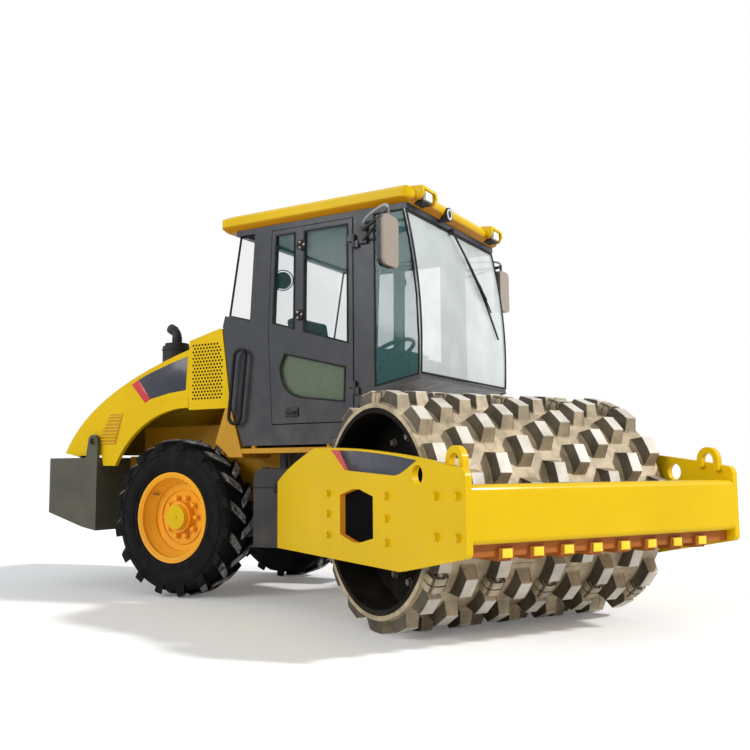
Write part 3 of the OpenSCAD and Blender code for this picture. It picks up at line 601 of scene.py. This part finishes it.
class ROLLER_OT_wheel_fittings(Operator):
    """Wheel nuts, hub cover, lock ring, valve and the ribs of the tyre walls"""
    bl_idname = "roller.wheel_fittings"
    bl_label = "Wheel fittings"

    def execute(self, context):
        for s, side in SIDES:
            body = side + "_wheel"
            y = s * TRACK

            def spot(radius, angle, out):
                return on_ring(AXLE, radius, angle, y + s * out)

            def ring(name, radius, out, thick, round_steps=64):
                return hoop(name, spot(0, 0, out), (0, s, 0), radius, thick, round_steps)

            turns = [tau * i / WHEEL_NUTS for i in range(WHEEL_NUTS)]
            bolts("wheel_nuts_" + side, sizes().nut, [facing(spot(NUT_RING, a, 0.026), (0, s, 0)) for a in turns],
                  "rim_paint", body, "yellow_paint")
            cap = [spindle("cap", spot(0, 0, 0.08), spot(0, 0, 0.096), 0.088, 0.006, steps=3, sides=48),
                   spindle("plug", spot(0, 0, 0.094), spot(0, 0, 0.1), 0.016, 0.002, sides=6)]
            fit("hub_cap_" + side, cap, "machine_yellow", body, "yellow_paint")
            rings = [ring("lock", 0.312, 0.134, 0.0055), ring("disc_ring", 0.2, 0.02, 0.006)]
            fit("lock_ring_" + side, rings, "rim_paint", body, "yellow_paint")
            valve = pipe("valve_" + side, [spot(r, VALVE_TURN, out) for r, out in VALVE_ROUTE], 0.007)
            dress(valve, "bolt_steel", body, "black_paint")
            walls = [ring("rib", r, k * out, 0.0045, 96) for k in (-1, 1) for r, out in WALL_RIBS]
            fit("tyre_ribs_" + side, walls, side + "_rubber", body, "tyre_rubber")
        return {"FINISHED"}


# side views, x and z, in the front frame's place for the plates and in the rear frame's for the rest
PLATE_BOLTS = [(x, z) for x in (0.948, 1.637) for z in (0.78, 0.66, 0.535)]
PLATE_BOLTS += [(2.113, 0.79), (2.113, 0.594), (2.296, 0.795), (2.296, 0.60)]
PLATE_RED = [(0.98, 1.038), (1.09, 1.034), (1.197, 0.915), (1.155, 0.918)]
PLATE_NAVY = [(1.09, 1.034), (1.30, 1.026), (1.50, 1.012), (1.72, 0.992), (1.935, 0.966), (1.825, 0.918),
              (1.765, 0.896), (1.715, 0.888), (1.197, 0.915)]
HOOD_RED = [(-0.53, 1.598), (-0.455, 1.634), (-0.33, 1.475), (-0.387, 1.448)]
HOOD_NAVY = [(-0.455, 1.634), (-0.34, 1.677), (-0.14, 1.736), (0.045, 1.783), (0.03, 1.528), (-0.14, 1.512),
             (-0.33, 1.475)]
LOUVRE_BACK = [(-0.902, 1.132), (-0.69, 1.132), (-0.618, 1.372), (-0.76, 1.372)]
PANEL_THICK = 0.0022
SCRAPER_TEETH = 8


class ROLLER_OT_plain_panels(Operator):
    """Plain dark panels with slanted red ends on hood and side plates"""
    bl_idname = "roller.plain_panels"
    bl_label = "Plain panels"

    def execute(self, context):
        rows = (("plate_panel", PLATE_NAVY, "navy_panel", PLATE_Y, FRONT, "front_unit"),
                ("plate_panel_end", PLATE_RED, "red_panel", PLATE_Y, FRONT, "front_unit"),
                ("hood_panel", HOOD_NAVY, "navy_panel", HOOD_Y, REAR, "hood_unit"),
                ("hood_panel_end", HOOD_RED, "red_panel", HOOD_Y, REAR, "hood_unit"))
        for name, points, material, y, place, body in rows:
            for s, side in SIDES:
                piece = side_sheet(name + "_" + side, points, s, y, PANEL_THICK, place, edge=0.0006)
                dress(piece, material, body, "yellow_paint")
        return {"FINISHED"}


class ROLLER_OT_plate_bolts(Operator):
    """Bolts of the side plates and clips of the scraper teeth"""
    bl_idname = "roller.plate_bolts"
    bl_label = "Plate bolts"

    def execute(self, context):
        spots = [facing((x, s * PLATE_Y, z), (0, s, 0), FRONT) for s, _ in SIDES for x, z in PLATE_BOLTS]
        bolts("plate_bolts", sizes().bolt, spots, "machine_yellow", "front_unit", "yellow_paint")
        teeth = [(k - (SCRAPER_TEETH - 1) / 2) * PAD_RING for k in range(SCRAPER_TEETH)]
        clips = [block("clip", (2.313, y - 0.03, 0.497), (2.324, y + 0.03, 0.540), 0.003, FRONT) for y in teeth]
        fit("scraper_clips", clips, "clip_yellow", "front_unit", "yellow_paint")
        return {"FINISHED"}


HOOD_BLACK = ("hood_unit", "black_paint")
HOLE_ROWS = 17
HOLE_SIDES = 12
HOLE_X, HOLE_Z = 0.118, 1.455
HOLE_END = 0.40
HOLE_DEPTH = 0.002


class ROLLER_OT_cowl_holes(Operator):
    """Staggered holes of the cowl, as black discs of painted shade, and the back of the louvres, in painted shade"""
    bl_idname = "roller.cowl_holes"
    bl_label = "Cowl holes and louvres"

    def execute(self, context):
        step = sizes().pitch
        radius = sizes().hole
        for s, side in SIDES:
            spots = []
            for row in range(HOLE_ROWS):
                # rows of a triangular grid, short of the cowl's leaning front edge
                z = HOLE_Z + row * step * 0.866
                x = HOLE_X + (row % 2) * step / 2
                limit = 0.448 - (z - 1.374) * 0.152
                while x < min(limit, HOLE_END):
                    spots.append(facing((x, s * CAB_Y, z), (0, s, 0)))
                    x += step
            alone()
            bpy.ops.mesh.primitive_cylinder_add(
                vertices=HOLE_SIDES, radius=radius, depth=HOLE_DEPTH, location=(0, 0, HOLE_DEPTH / 2))
            master = bpy.context.object
            editing(master)
            bpy.ops.mesh.select_all(action="DESELECT")
            bpy.ops.mesh.select_face_by_sides(number=HOLE_SIDES)
            bpy.ops.mesh.inset(thickness=radius * 0.14, depth=-0.0008)
            bpy.ops.object.mode_set(mode="OBJECT")
            bpy.ops.object.transform_apply()
            # the holes are black discs: painted shade
            dress(repeated("cowl_holes_" + side, master, spots), "painted_shade_black", "rear_unit", "black_paint")
            back = side_sheet("louvre_back_" + side, LOUVRE_BACK, s, HOOD_Y, 0.003, edge=0.0008)
            dress(back, "shaded_frame_paint", *HOOD_BLACK)
        return {"FINISHED"}


SCREEN_C = (-1.679, 1.762)
SCREEN_R = 3.716
DOOR_PANES = ([(0.884, 2.60), (0.856, 1.96), (1.048, 1.902), (1.056, 2.60)],
              [(1.128, 2.60), (1.12, 1.88), (1.492, 1.768), (1.494, 2.60)],
              [(1.472, 1.615), (0.962, 1.74), (0.919, 1.644), (0.929, 1.565), (0.957, 1.5), (1.013, 1.447),
               (1.099, 1.416), (1.462, 1.372)])
CORNER_PANE = [(1.692, 1.463), (1.776, 1.478), (2.026, 1.53), (2.03, 1.75), (2.018, 2.05), (1.995, 2.25), (1.962, 2.45),
               (1.922, 2.64), (1.692, 2.64)]
QUARTER_PANE = [(0.44, 2.052), (0.65, 1.998), (0.692, 2.64), (0.542, 2.64)]


def screen_x(z):
    return SCREEN_C[0] + sqrt(SCREEN_R ** 2 - (z - SCREEN_C[1]) ** 2)


PANE_HINGES = ((1.115, 2.498), (1.096, 2.0))
SCREEN_FOOT, SCREEN_TOP = 1.54, 2.63


class ROLLER_OT_window_seals(Operator):
    """Rubber round the panes, hinges and latches of the doors"""
    bl_idname = "roller.window_seals"
    bl_label = "Window seals and door fittings"

    def execute(self, context):
        for s, side in SIDES:
            door = side + "_door"

            def seal(pane, off, thick):
                return side_sheet("seal", pane, s, CAB_Y + off, thick, border=sizes().seal)

            fit("door_seals_" + side, [seal(pane, 0.0035, 0.005) for pane in DOOR_PANES], "seal_rubber", door)
            fit("fixed_seals_" + side, [seal(CORNER_PANE, -0.003, 0.006), seal(QUARTER_PANE, -0.032, 0.012)],
                "seal_rubber")
            y = s * (CAB_Y + 0.004)
            lid, grip = y + s * 0.012, y + s * 0.034
            pull = ((0.99, lid), (0.995, grip), (1.065, grip), (1.07, lid))
            parts = [block("latch", (0.975, y, 1.288), (1.085, lid, 1.352), 0.006),
                     pipe("pull", [(x, level, 1.32) for x, level in pull], 0.008)]
            hinges, pins = [], []
            face = y + s * 0.014
            for x, z in PANE_HINGES:
                hinges.append(spindle("pane_hinge", (x, y, z), (x, face, z), 0.038, 0.004))
                pins += [facing(on_ring(Vector((x, y, z)), 0.022, tau * i / 3, face), (0, s, 0)) for i in range(3)]
            fit("pane_hinges_" + side, hinges, "seal_rubber", door)
            bolts("pane_bolts_" + side, 0.013, pins, "bolt_steel", door)
            fit("door_fittings_" + side, parts, "grained_black", door)

        def rim(spots):
            return pipe("screen_edge", [(screen_x(z) + 0.002, y, z) for y, z in spots], 0.008)

        heights = (SCREEN_FOOT, 1.75, 1.95, 2.15, 2.35, 2.5, SCREEN_TOP)
        edge = [rim([(y, z) for z in heights]) for y in (-CAB_Y + 0.012, CAB_Y - 0.012)]
        edge += [rim([(y, z) for y in (-0.73, 0.0, 0.73)]) for z in (SCREEN_FOOT + 0.001, SCREEN_TOP)]
        fit("screen_seal", edge, "seal_rubber")
        return {"FINISHED"}


class ROLLER_OT_wiper(Operator):
    """Wiper of the windscreen, hung from the roof"""
    bl_idname = "roller.wiper"
    bl_label = "Wiper"

    def execute(self, context):
        def on_glass(off, *spots):
            return [(screen_x(z) + off, y, z) for y, z in spots]
        blade = on_glass(0.012, (0.13, 2.47), (0.28, 2.29), (0.43, 2.1), (0.57, 1.91))
        arm = on_glass(0.032, (-0.06, 2.625), (0.1, 2.45), (0.25, 2.28), (0.35, 2.19))
        top, knee = screen_x(SCREEN_TOP), (0.35, 2.19)
        parts = [pipe("arm", arm, 0.008), pipe("blade", blade, 0.007),
                 pipe("spine", [(x + 0.014, y, z) for x, y, z in blade[1:3]], 0.006),
                 spindle("pivot", (top - 0.005, -0.06, 2.632), (top + 0.045, -0.06, 2.632), 0.02, 0.004),
                 spindle("joint", *on_glass(0.01, knee), *on_glass(0.036, knee), 0.011, 0.002)]
        fit("wiper", parts, "grained_black")
        return {"FINISHED"}


LAMP_Y = 0.591
HORN_Y, HORN_Z = -0.216, 2.712
HOOD_WALL = [(1.955, 2.70), (2.022, 2.70), (2.052, 2.742), (2.046, 2.79), (1.955, 2.80)]
HOOD_LID = [(1.955, 2.779), (2.049, 2.772), (2.045, 2.795), (1.955, 2.803)]
# outline, inner side and width of the three sheets of a lamp's hood
HOOD_SHEETS = ((HOOD_WALL, 0.476, 0.03), (HOOD_WALL, 0.672, 0.03), (HOOD_LID, 0.49, 0.2))
TAIL_Y = 0.56
# name, finish, offset and half width across, span behind the ballast, span of height, eased edge
TAIL_LAMPS = (("tail_shells", "grained_black", 0.0, 0.115, (-0.022, 0.002), (0.86, 0.965), 0.006),
              ("tail_red", "red_lens", -0.02, 0.065, (-0.03, -0.018), (0.875, 0.95), 0.005),
              ("tail_amber", "amber_lens", 0.08, 0.026, (-0.03, -0.018), (0.875, 0.95), 0.005))


def ballast_back():
    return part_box("counterweight")[0].x - REAR.translation.x


class ROLLER_OT_lamps(Operator):
    """Hoods and lenses of the roof lamps, the round horn between them and the tail lamps"""
    bl_idname = "roller.lamps"
    bl_label = "Lamps"

    def execute(self, context):
        low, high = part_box("roof_lamps")
        face = high.x - REAR.translation.x
        mid_z = (low.z + high.z) / 2
        lenses, rims, hoods = [], [], []
        for s, _ in SIDES:
            y = s * LAMP_Y
            for points, start, wide in HOOD_SHEETS:
                hoods.append(side_sheet("hood", points, s, start, wide, edge=0.005))
            rims.append(block(
                "rim", (face - 0.004, y - 0.058, mid_z - 0.04), (face + 0.004, y + 0.058, mid_z + 0.04), 0.003))
            lenses.append(block(
                "lens", (face, y - 0.05, mid_z - 0.024), (face + 0.026, y + 0.05, mid_z + 0.034), 0.004, steps=3))

        def horn(x):
            return (x, HORN_Y, HORN_Z)

        rims += [spindle("horn", horn(1.962), horn(2.012), 0.05, 0.008, steps=3),
                 hoop("horn_rim", horn(2.012), (1, 0, 0), 0.046, 0.005, 40),
                 block("horn_foot", (1.94, -0.236, 2.69), (1.985, -0.196, 2.735), 0.004),
                 spindle("horn_lens", horn(2.008), horn(2.015), 0.026, 0.004)]
        lenses.append(hoop("horn_ring", horn(2.013), (1, 0, 0), 0.034, 0.006, 40))
        fit("lamp_hoods", hoods, "roof_paint", "rear_unit", "yellow_paint")
        fit("lamp_lenses", lenses, "lamp_lens")
        fit("lamp_rims", rims, "grained_black")
        tail = ballast_back()
        for name, material, off, half, x, z, edge in TAIL_LAMPS:
            mids = [s * TAIL_Y + s * off for s, _ in SIDES]
            fit(name, [block("lamp", (tail + x[0], y - half, z[0]), (tail + x[1], y + half, z[1]), edge) for y in mids],
                material)
        return {"FINISHED"}


MIRROR_CORNERS = ((-0.05, 2.26), (0.05, 2.26), (0.05, 2.47), (-0.05, 2.47))
MIRROR_R = 0.03
MIRROR_LOOP = ((1.622, 0.752, 2.585), (1.66, 0.785, 2.607), (1.80, 0.885, 2.618), (1.915, 0.955, 2.618),
               (1.927, 0.962, 2.58), (1.926, 0.96, 2.525))


class ROLLER_OT_mirror_glass(Operator):
    """Mirror faces, looking to the rear, and the tube loops over the mirrors"""
    bl_idname = "roller.mirror_glass"
    bl_label = "Mirror faces"

    def execute(self, context):
        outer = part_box("mirrors")[1] - REAR.translation
        face_x, mid_y = outer.x - 0.056, outer.y - 0.095
        for s, side in SIDES:
            points = []
            for corner, (y, z) in enumerate(MIRROR_CORNERS):
                for i in range(5):
                    a = radians(180 + 90 * corner + 22.5 * i)
                    points.append((face_x, s * (mid_y + y + MIRROR_R * cos(a)), z + MIRROR_R * sin(a)))
            dress(sheet_form("mirror_face_" + side, points, (-0.003, 0, 0), edge=0.0008), "mirror_glass")
            dress(pipe("mirror_loop_" + side, [(x, s * y, z) for x, y, z in MIRROR_LOOP], 0.009), "loop_grey")
        return {"FINISHED"}


def leaning(angle):
    """Up, leant back by an angle in degrees."""
    return Vector((-sin(radians(angle)), 0, cos(radians(angle))))


class ROLLER_OT_muffler_trim(Operator):
    """Clamps of the silencer, and a black disc of painted shade in the mouth of its pipe"""
    bl_idname = "roller.muffler_trim"
    bl_label = "Silencer trim"

    def execute(self, context):
        x, y = -0.54, -0.205
        clamps = (1.74, 1.93)
        bands = [hoop("band", (x, y, z), (0, 0, 1), 0.118, 0.007, 48) for z in clamps]
        bands.append(hoop("collar", (x, y, 1.99), (0, 0, 1), 0.043, 0.006, 40))
        bands += [block("lug", (x + 0.11, y - 0.014, z - 0.016), (x + 0.145, y + 0.014, z + 0.016), 0.003)
                  for z in clamps]
        fit("muffler_bands", bands, "hot_black", *HOOD_BLACK)
        end = Vector((x - 0.035, y, 2.1006))
        out = leaning(60)
        dress(hoop("pipe_lip", end + out * 0.042, out, 0.038, 0.0042, 40), "hot_black", *HOOD_BLACK)
        # a black disc in the pipe's mouth: painted shade
        dress(spindle("pipe_mouth", end + out * 0.038, end + out * 0.0435, 0.034, 0.001), "painted_shade_black", *HOOD_BLACK)
        return {"FINISHED"}


BOX_Y = 0.8
GRIP_ROWS, GRIP_COLUMNS = 10, 9


class ROLLER_OT_step_trim(Operator):
    """Lids, latches and grip plates of the step boxes"""
    bl_idname = "roller.step_trim"
    bl_label = "Step boxes"

    def execute(self, context):
        for s, side in SIDES:
            y = s * BOX_Y
            parts = [block("seam", (0.742, y - s * 0.34, 0.796), (1.152, y + s * 0.003, 0.804), 0.001),
                     block("latch", (0.92, y, 0.765), (0.98, y + s * 0.012, 0.83), 0.004)]
            for x in (0.80, 1.08):
                parts.append(spindle("hinge", (x, y - s * 0.02, 0.932), (x + 0.06, y - s * 0.02, 0.932), 0.009, 0.002))
            fit("box_trim_" + side, parts, "seal_rubber")
            master = block("grip", (-0.016, -0.0035, 0), (0.016, 0.0035, 0.005), 0.0015, ZERO)
            spots = []
            for i in range(GRIP_ROWS):
                for k in range(GRIP_COLUMNS):
                    turn = Matrix.Rotation(radians(45 if (i + k) % 2 else -45), 4, "Z")
                    at = (0.845 + i * 0.032, s * (0.48 + k * 0.033), 0.9295)
                    spots.append(REAR @ Matrix.Translation(at) @ turn)
            dress(repeated("box_grips_" + side, master, spots), "grained_black")
        return {"FINISHED"}


# the hood's back in its side view, as a curve of three points
HOOD_BACK = ((-1.262, -0.99, 0.07), (1.072, 1.56, 1.837))
REAR_SLATS = 9


class ROLLER_OT_rear_trim(Operator):
    """Eye rims and bolts of the counterweight, rear grille and latch of the hood"""
    bl_idname = "roller.rear_trim"
    bl_label = "Rear trim"

    def execute(self, context):
        rims = [hoop("eye_rim", (-0.905, s * y, 1.16), (0, s, 0), 0.033, 0.006, 40)
                for s, _ in SIDES for y in (0.737, 0.765)]
        fit("eye_rims", rims, "ballast_grey", "rear_unit", "grey_paint")
        tail = ballast_back()
        spots = [facing((tail, y, z), (-1, 0, 0)) for y in (-0.3, -0.1, 0.1, 0.3) for z in (0.70, 0.98)]
        bolts("ballast_bolts", 0.05, spots, "ballast_grey", "rear_unit", "grey_paint")
        slats = []
        for i in range(REAR_SLATS):
            t = 0.10 + 0.032 * i
            x, z = ((1 - t) ** 2 * a + 2 * t * (1 - t) * b + t * t * c for a, b, c in HOOD_BACK)
            place = REAR @ Matrix.Translation((x, 0, z)) @ Matrix.Rotation(-radians(56 - 40 * t), 4, "Y")
            slats.append(block("slat", (-0.014, -0.42, -0.004), (0.014, 0.42, 0.006), 0.003, place))
        fit("rear_slats", slats, "grained_black", *HOOD_BLACK)
        latch = block("hood_latch", (0.03, -0.07, 1.79), (0.07, 0.07, 1.846), 0.005)
        dress(latch, "satin_black", *HOOD_BLACK)
        return {"FINISHED"}


# name, body, radius and distance out of the ring, count, bolt size, way that the heads face
DISC_RINGS = (("disc_bolts", "drum_unit", 0.42, 0.590, 16, 0.04, 1),
              ("mount_bolts", "front_unit", 0.21, 0.803, 12, 0.034, -1))
CLAMP_REACH = 0.657


class ROLLER_OT_drum_bolts(Operator):
    """Bolts on the drum's end discs, its rubber mounts and the clamp ears"""
    bl_idname = "roller.drum_bolts"
    bl_label = "Drum end bolts"

    def execute(self, context):
        centre = FRONT.inverted() @ DRUM
        for name, body, radius, out, count, size, way in DISC_RINGS:
            spots = [facing(on_ring(centre, radius, tau * i / count, s * out), (0, s * way, 0), FRONT)
                     for s, _ in SIDES for i in range(count)]
            bolts(name, size, spots, "bolt_steel", body, "black_paint")
        heads, rims = [], []
        for part in range(3):
            for ring in range(-4, 5, 2):
                seam = 17.7 + 9.6 * ring + 24 * (5 * part - ring // 2 - 2.5)
                for way in (-1, 1):
                    a = radians(seam + way * 2.11)
                    along = Vector((-sin(a), 0, cos(a))) * way
                    ear = on_ring(centre, CLAMP_REACH, a, ring * PAD_RING) + along * 0.02
                    heads.append(facing(ear, along, FRONT))
                    rims.append(facing(ear - along * 0.001, along, FRONT))
        bolts("clamp_bolts", 0.036, heads, "bolt_steel", "drum_unit", "black_paint")
        # dark discs round the clamp bolts: painted shade in the ears' holes
        dark = spindle("dark", (0, 0, 0), (0, 0, 0.0022), 0.027, 0.0006, ZERO, 24)
        dress(repeated("clamp_rims", dark, rims), "painted_shade_black", "drum_unit", "black_paint")
        return {"FINISHED"}


def cushion(name, low, high, crown, channels=()):
    """A crowned pad: its faces swell, its sides pull in between the corners, and sewn channels cross it."""
    pad = block(name, low, high, min(b - a for a, b in zip(low, high)) * 0.28, ZERO, 3)
    editing(pad)
    bpy.ops.mesh.subdivide(number_cuts=5)
    bpy.ops.object.mode_set(mode="OBJECT")
    mid = [(a + b) / 2 for a, b in zip(low, high)]
    half = [(b - a) / 2 for a, b in zip(low, high)]
    thin = half.index(min(half))
    wide = [i for i in range(3) if i != thin]
    for vertex in pad.data.vertices:
        u = [(vertex.co[i] - mid[i]) / half[i] for i in range(3)]
        swell = (1 - u[wide[0]] ** 2) * (1 - u[wide[1]] ** 2)
        vertex.co[thin] += crown * swell * u[thin]
        for i, k in ((wide[0], wide[1]), (wide[1], wide[0])):
            vertex.co[i] -= 0.35 * crown * (1 - u[k] ** 2) * u[i] * abs(u[i])
        for axis, at in channels:
            gap = (vertex.co[axis] - at) / 0.012
            vertex.co[thin] -= 0.3 * crown * exp(-gap * gap) * (1 if u[thin] > 0 else -1) * abs(u[thin])
    alone(pad)
    smooth = pad.modifiers.new("smooth", "SUBSURF")
    smooth.levels = smooth.render_levels = 1
    bpy.ops.object.modifier_apply(modifier="smooth")
    return pad


SEAT_BASE = [(0.74, 1.125), (0.78, 1.39), (1.08, 1.39), (1.12, 1.125)]
SEAT_LEAN = radians(-10.5)


class ROLLER_OT_seat(Operator):
    """Seat with sewn pads on its base, in place of the plain solid"""
    bl_idname = "roller.seat"
    bl_label = "Seat"

    def execute(self, context):
        parts = [side_sheet("seat_base", SEAT_BASE, 1, -0.2, 0.4, edge=0.012),
                 block("tray", (0.70, -0.24, 1.385), (1.16, 0.24, 1.412), 0.008)]
        parts += [block("arm_post", (0.67, s * 0.232, 1.55), (0.74, s * 0.30, 1.675), 0.01) for s, _ in SIDES]
        body = fit("seat_frame", parts, "grained_black")
        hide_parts("seat")
        seat = cushion("seat_pad", (0.705, -0.24, 1.415), (1.175, 0.24, 1.515), 0.014, ((1, -0.13), (1, 0.13)))
        back = cushion("seat_back", (-0.05, -0.225, 0.0), (0.05, 0.225, 0.60), 0.014, ((1, -0.12), (1, 0.12)))
        arms = [cushion("arm_pad", (0.685, s * 0.292 - 0.028, 1.665), (1.03, s * 0.292 + 0.028, 1.715), 0.006)
                for s, _ in SIDES]
        lean = REAR @ Matrix.Translation((0.755, 0, 1.51)) @ Matrix.Rotation(SEAT_LEAN, 4, "Y")
        for name, pad, place in (("seat_pad", seat, REAR), ("arm_pad_right", arms[0], REAR),
                                 ("arm_pad_left", arms[1], REAR), ("seat_back", back, lean)):
            alone(pad)
            settle(name, place)
            dress(pad, "seat_twill", "rear_unit", "seat_cloth", 60.0)
        return {"FINISHED"}


FAN_AT = Vector((0.85, -0.61, 2.30))
LEVERS_Y = (-0.40, 0.40)
# place across and radius of the dials
DIALS = ((-0.10, 0.042), (0.0, 0.05), (0.10, 0.042))


def oblong(back, front, half, z):
    """Corners of a level oblong, as wide to both sides."""
    return [(back, -half, z), (front, -half, z), (front, half, z), (back, half, z)]


class ROLLER_OT_cab_inside(Operator):
    """Dials, levers, fan, floor mat and head lining of the cab"""
    bl_idname = "roller.cab_inside"
    bl_label = "Cab inside"

    def execute(self, context):
        dash = [block("hood", (1.50, -0.19, 1.735), (1.64, 0.19, 1.775), 0.012)]
        dash += [pipe("lever", [(1.02, y, 1.50), (1.05, y, 1.62), (1.10, y, 1.76)], 0.009) for y in LEVERS_Y]
        dash += [spindle("knob", (1.098, y, 1.755), (1.118, y, 1.815), 0.022, 0.009, steps=3) for y in LEVERS_Y]
        dash += [block("box", (0.86, s * 0.345, 1.126), (1.14, s * 0.46, 1.505), 0.015) for s, _ in SIDES]
        fit("cab_levers", dash, "grained_black")
        tilt = leaning(55)
        dials, rims = [], []
        for y, r in DIALS:
            spot = Vector((1.488, y, 1.742))
            dials.append(spindle("dial", spot - tilt * 0.004, spot + tilt * 0.004, r * 0.9, 0.001))
            rims.append(hoop("dial_rim", spot + tilt * 0.004, tilt, r, 0.005, 40))
        fit("dials", dials, "lamp_lens")
        fit("dial_rims", rims, "grained_black")
        fan = [hoop("guard", FAN_AT, (0.5, -0.85, 0), r, 0.004, 40) for r in (0.075, 0.05, 0.025)]
        fan.append(pipe("stem", [FAN_AT, FAN_AT + Vector((-0.02, -0.03, -0.07)), (0.81, -0.69, 2.2)], 0.009))
        fan.append(spindle(
            "motor", FAN_AT - Vector((0.015, -0.025, 0)), FAN_AT + Vector((0.006, -0.01, 0)), 0.06, 0.008))
        fit("cab_fan", fan, "grained_black")
        mat = sheet_form("floor_mat", oblong(0.66, 1.355, 0.66, 1.1255), (0, 0, 0.008), edge=0.003)
        dress(mat, "seal_rubber")
        lining = sheet_form("head_lining", oblong(0.575, 1.895, 0.69, 2.679), (0, 0, -0.014), edge=0.005)
        dress(lining, "lining_cloth", "rear_unit", "seat_cloth")
        return {"FINISHED"}


CAMERA_AT = (4.604, -5.792, 0.927)
CAMERA_TURN = radians(29.93)
CAMERA_PITCH = radians(6.02)
CAMERA_ROLL = radians(-0.46)
CAMERA_SENSOR, CAMERA_LENS = 36.0, 42.48
# name, place, strength, angle across
SUNS = (("key", (5.6, 1.4, 4.6), 2.75, 4.0), ("fill", (-2.0, -5.0, 3.0), 1.25, 30.0))
LIT_AT = Vector((0, 0, 0.8))


class ROLLER_OT_stage(Operator):
    """Plain pale floor, soft light, white surroundings and the camera"""
    bl_idname = "roller.stage"
    bl_label = "Stage"

    def execute(self, context):
        scene = context.scene
        scene.view_settings.view_transform = "Standard"
        alone()
        bpy.ops.mesh.primitive_circle_add(vertices=96, radius=60, fill_type="NGON", location=(0, 0, -0.001))
        floor = settle("floor", ZERO)
        n, shader = blank("floor_white")
        pale = n.blend(n.noise(0.8), (0.93, 0.93, 0.93), (0.95, 0.95, 0.95))
        ray = n.add("ShaderNodeLightPath").outputs
        n.feed(shader, {"Base Color": pale, "Roughness": 0.9, "Specular IOR Level": 0.1,
                        "Emission Color": (1, 1, 1, 1), "Emission Strength": n.times(ray["Is Camera Ray"], 0.12)})
        floor.data.materials.append(finish("floor_white"))
        world = bpy.data.worlds.new("surroundings")
        scene.world = world
        world.use_nodes = True
        n = Nodes(world.node_tree)
        ray = n.add("ShaderNodeLightPath").outputs
        seen = n.maths("MAXIMUM", ray["Is Camera Ray"], ray["Is Glossy Ray"])
        seen = n.maths("MAXIMUM", seen, ray["Is Transmission Ray"])
        sky = n.add("ShaderNodeBackground", {"Color": (0.93, 0.97, 1.0, 1), "Strength": 0.5})
        white = n.add("ShaderNodeBackground", {"Color": (1, 1, 1, 1), "Strength": 1.0})
        mix = n.add("ShaderNodeMixShader", {0: seen, 1: sky.outputs[0], 2: white.outputs[0]})
        n.add("ShaderNodeOutputWorld", {"Surface": mix.outputs[0]})
        for name, spot, energy, angle in SUNS:
            bpy.ops.object.light_add(type="SUN", location=spot)
            lamp = bpy.context.object
            lamp.name = name
            lamp.data.energy = energy
            lamp.data.angle = radians(angle)
            lamp.rotation_euler = (LIT_AT - Vector(spot)).to_track_quat("-Z", "Y").to_euler()
        bpy.ops.object.camera_add(location=REAR @ Vector(CAMERA_AT))
        camera = bpy.context.object
        level = cos(CAMERA_PITCH)
        ahead = Vector((-sin(CAMERA_TURN) * level, cos(CAMERA_TURN) * level, sin(CAMERA_PITCH)))
        turn = ahead.to_track_quat("-Z", "Y").to_matrix() @ Matrix.Rotation(CAMERA_ROLL, 3, "Z")
        camera.rotation_euler = turn.to_euler()
        camera.data.sensor_width = CAMERA_SENSOR
        camera.data.lens = CAMERA_LENS
        scene.camera = camera
        return {"FINISHED"}


class ROLLER_PT_panel(Panel):
    """Lists the steps that dress the roller"""
    bl_idname = "ROLLER_PT_panel"
    bl_label = "Road roller"
    bl_space_type = "VIEW_3D"
    bl_region_type = "UI"
    bl_category = "Roller"

    def draw(self, context):
        layout = self.layout
        for group in (context.scene.roller_looks, context.scene.roller_sizes):
            for name in group.__annotations__:
                layout.prop(group, name)
        for step in STEPS:
            layout.operator(step.bl_idname)


STEPS = (ROLLER_OT_finishes, ROLLER_OT_stage, ROLLER_OT_plain_panels, ROLLER_OT_plate_bolts, ROLLER_OT_wheel_fittings,
         ROLLER_OT_cowl_holes, ROLLER_OT_window_seals, ROLLER_OT_wiper, ROLLER_OT_lamps, ROLLER_OT_mirror_glass,
         ROLLER_OT_muffler_trim, ROLLER_OT_step_trim, ROLLER_OT_rear_trim, ROLLER_OT_drum_bolts, ROLLER_OT_seat,
         ROLLER_OT_cab_inside)
CLASSES = (RollerLooks, RollerSizes, *STEPS, ROLLER_PT_panel)


def register():
    for cls in CLASSES:
        bpy.utils.register_class(cls)
    bpy.types.Scene.roller_looks = PointerProperty(type=RollerLooks)
    bpy.types.Scene.roller_sizes = PointerProperty(type=RollerSizes)


def unregister():
    del bpy.types.Scene.roller_sizes
    del bpy.types.Scene.roller_looks
    for cls in reversed(CLASSES):
        bpy.utils.unregister_class(cls)


def main():
    register()
    for step in STEPS:
        group, name = step.bl_idname.split(".")
        getattr(getattr(bpy.ops, group), name)()


if __name__ == "__main__":
    main()
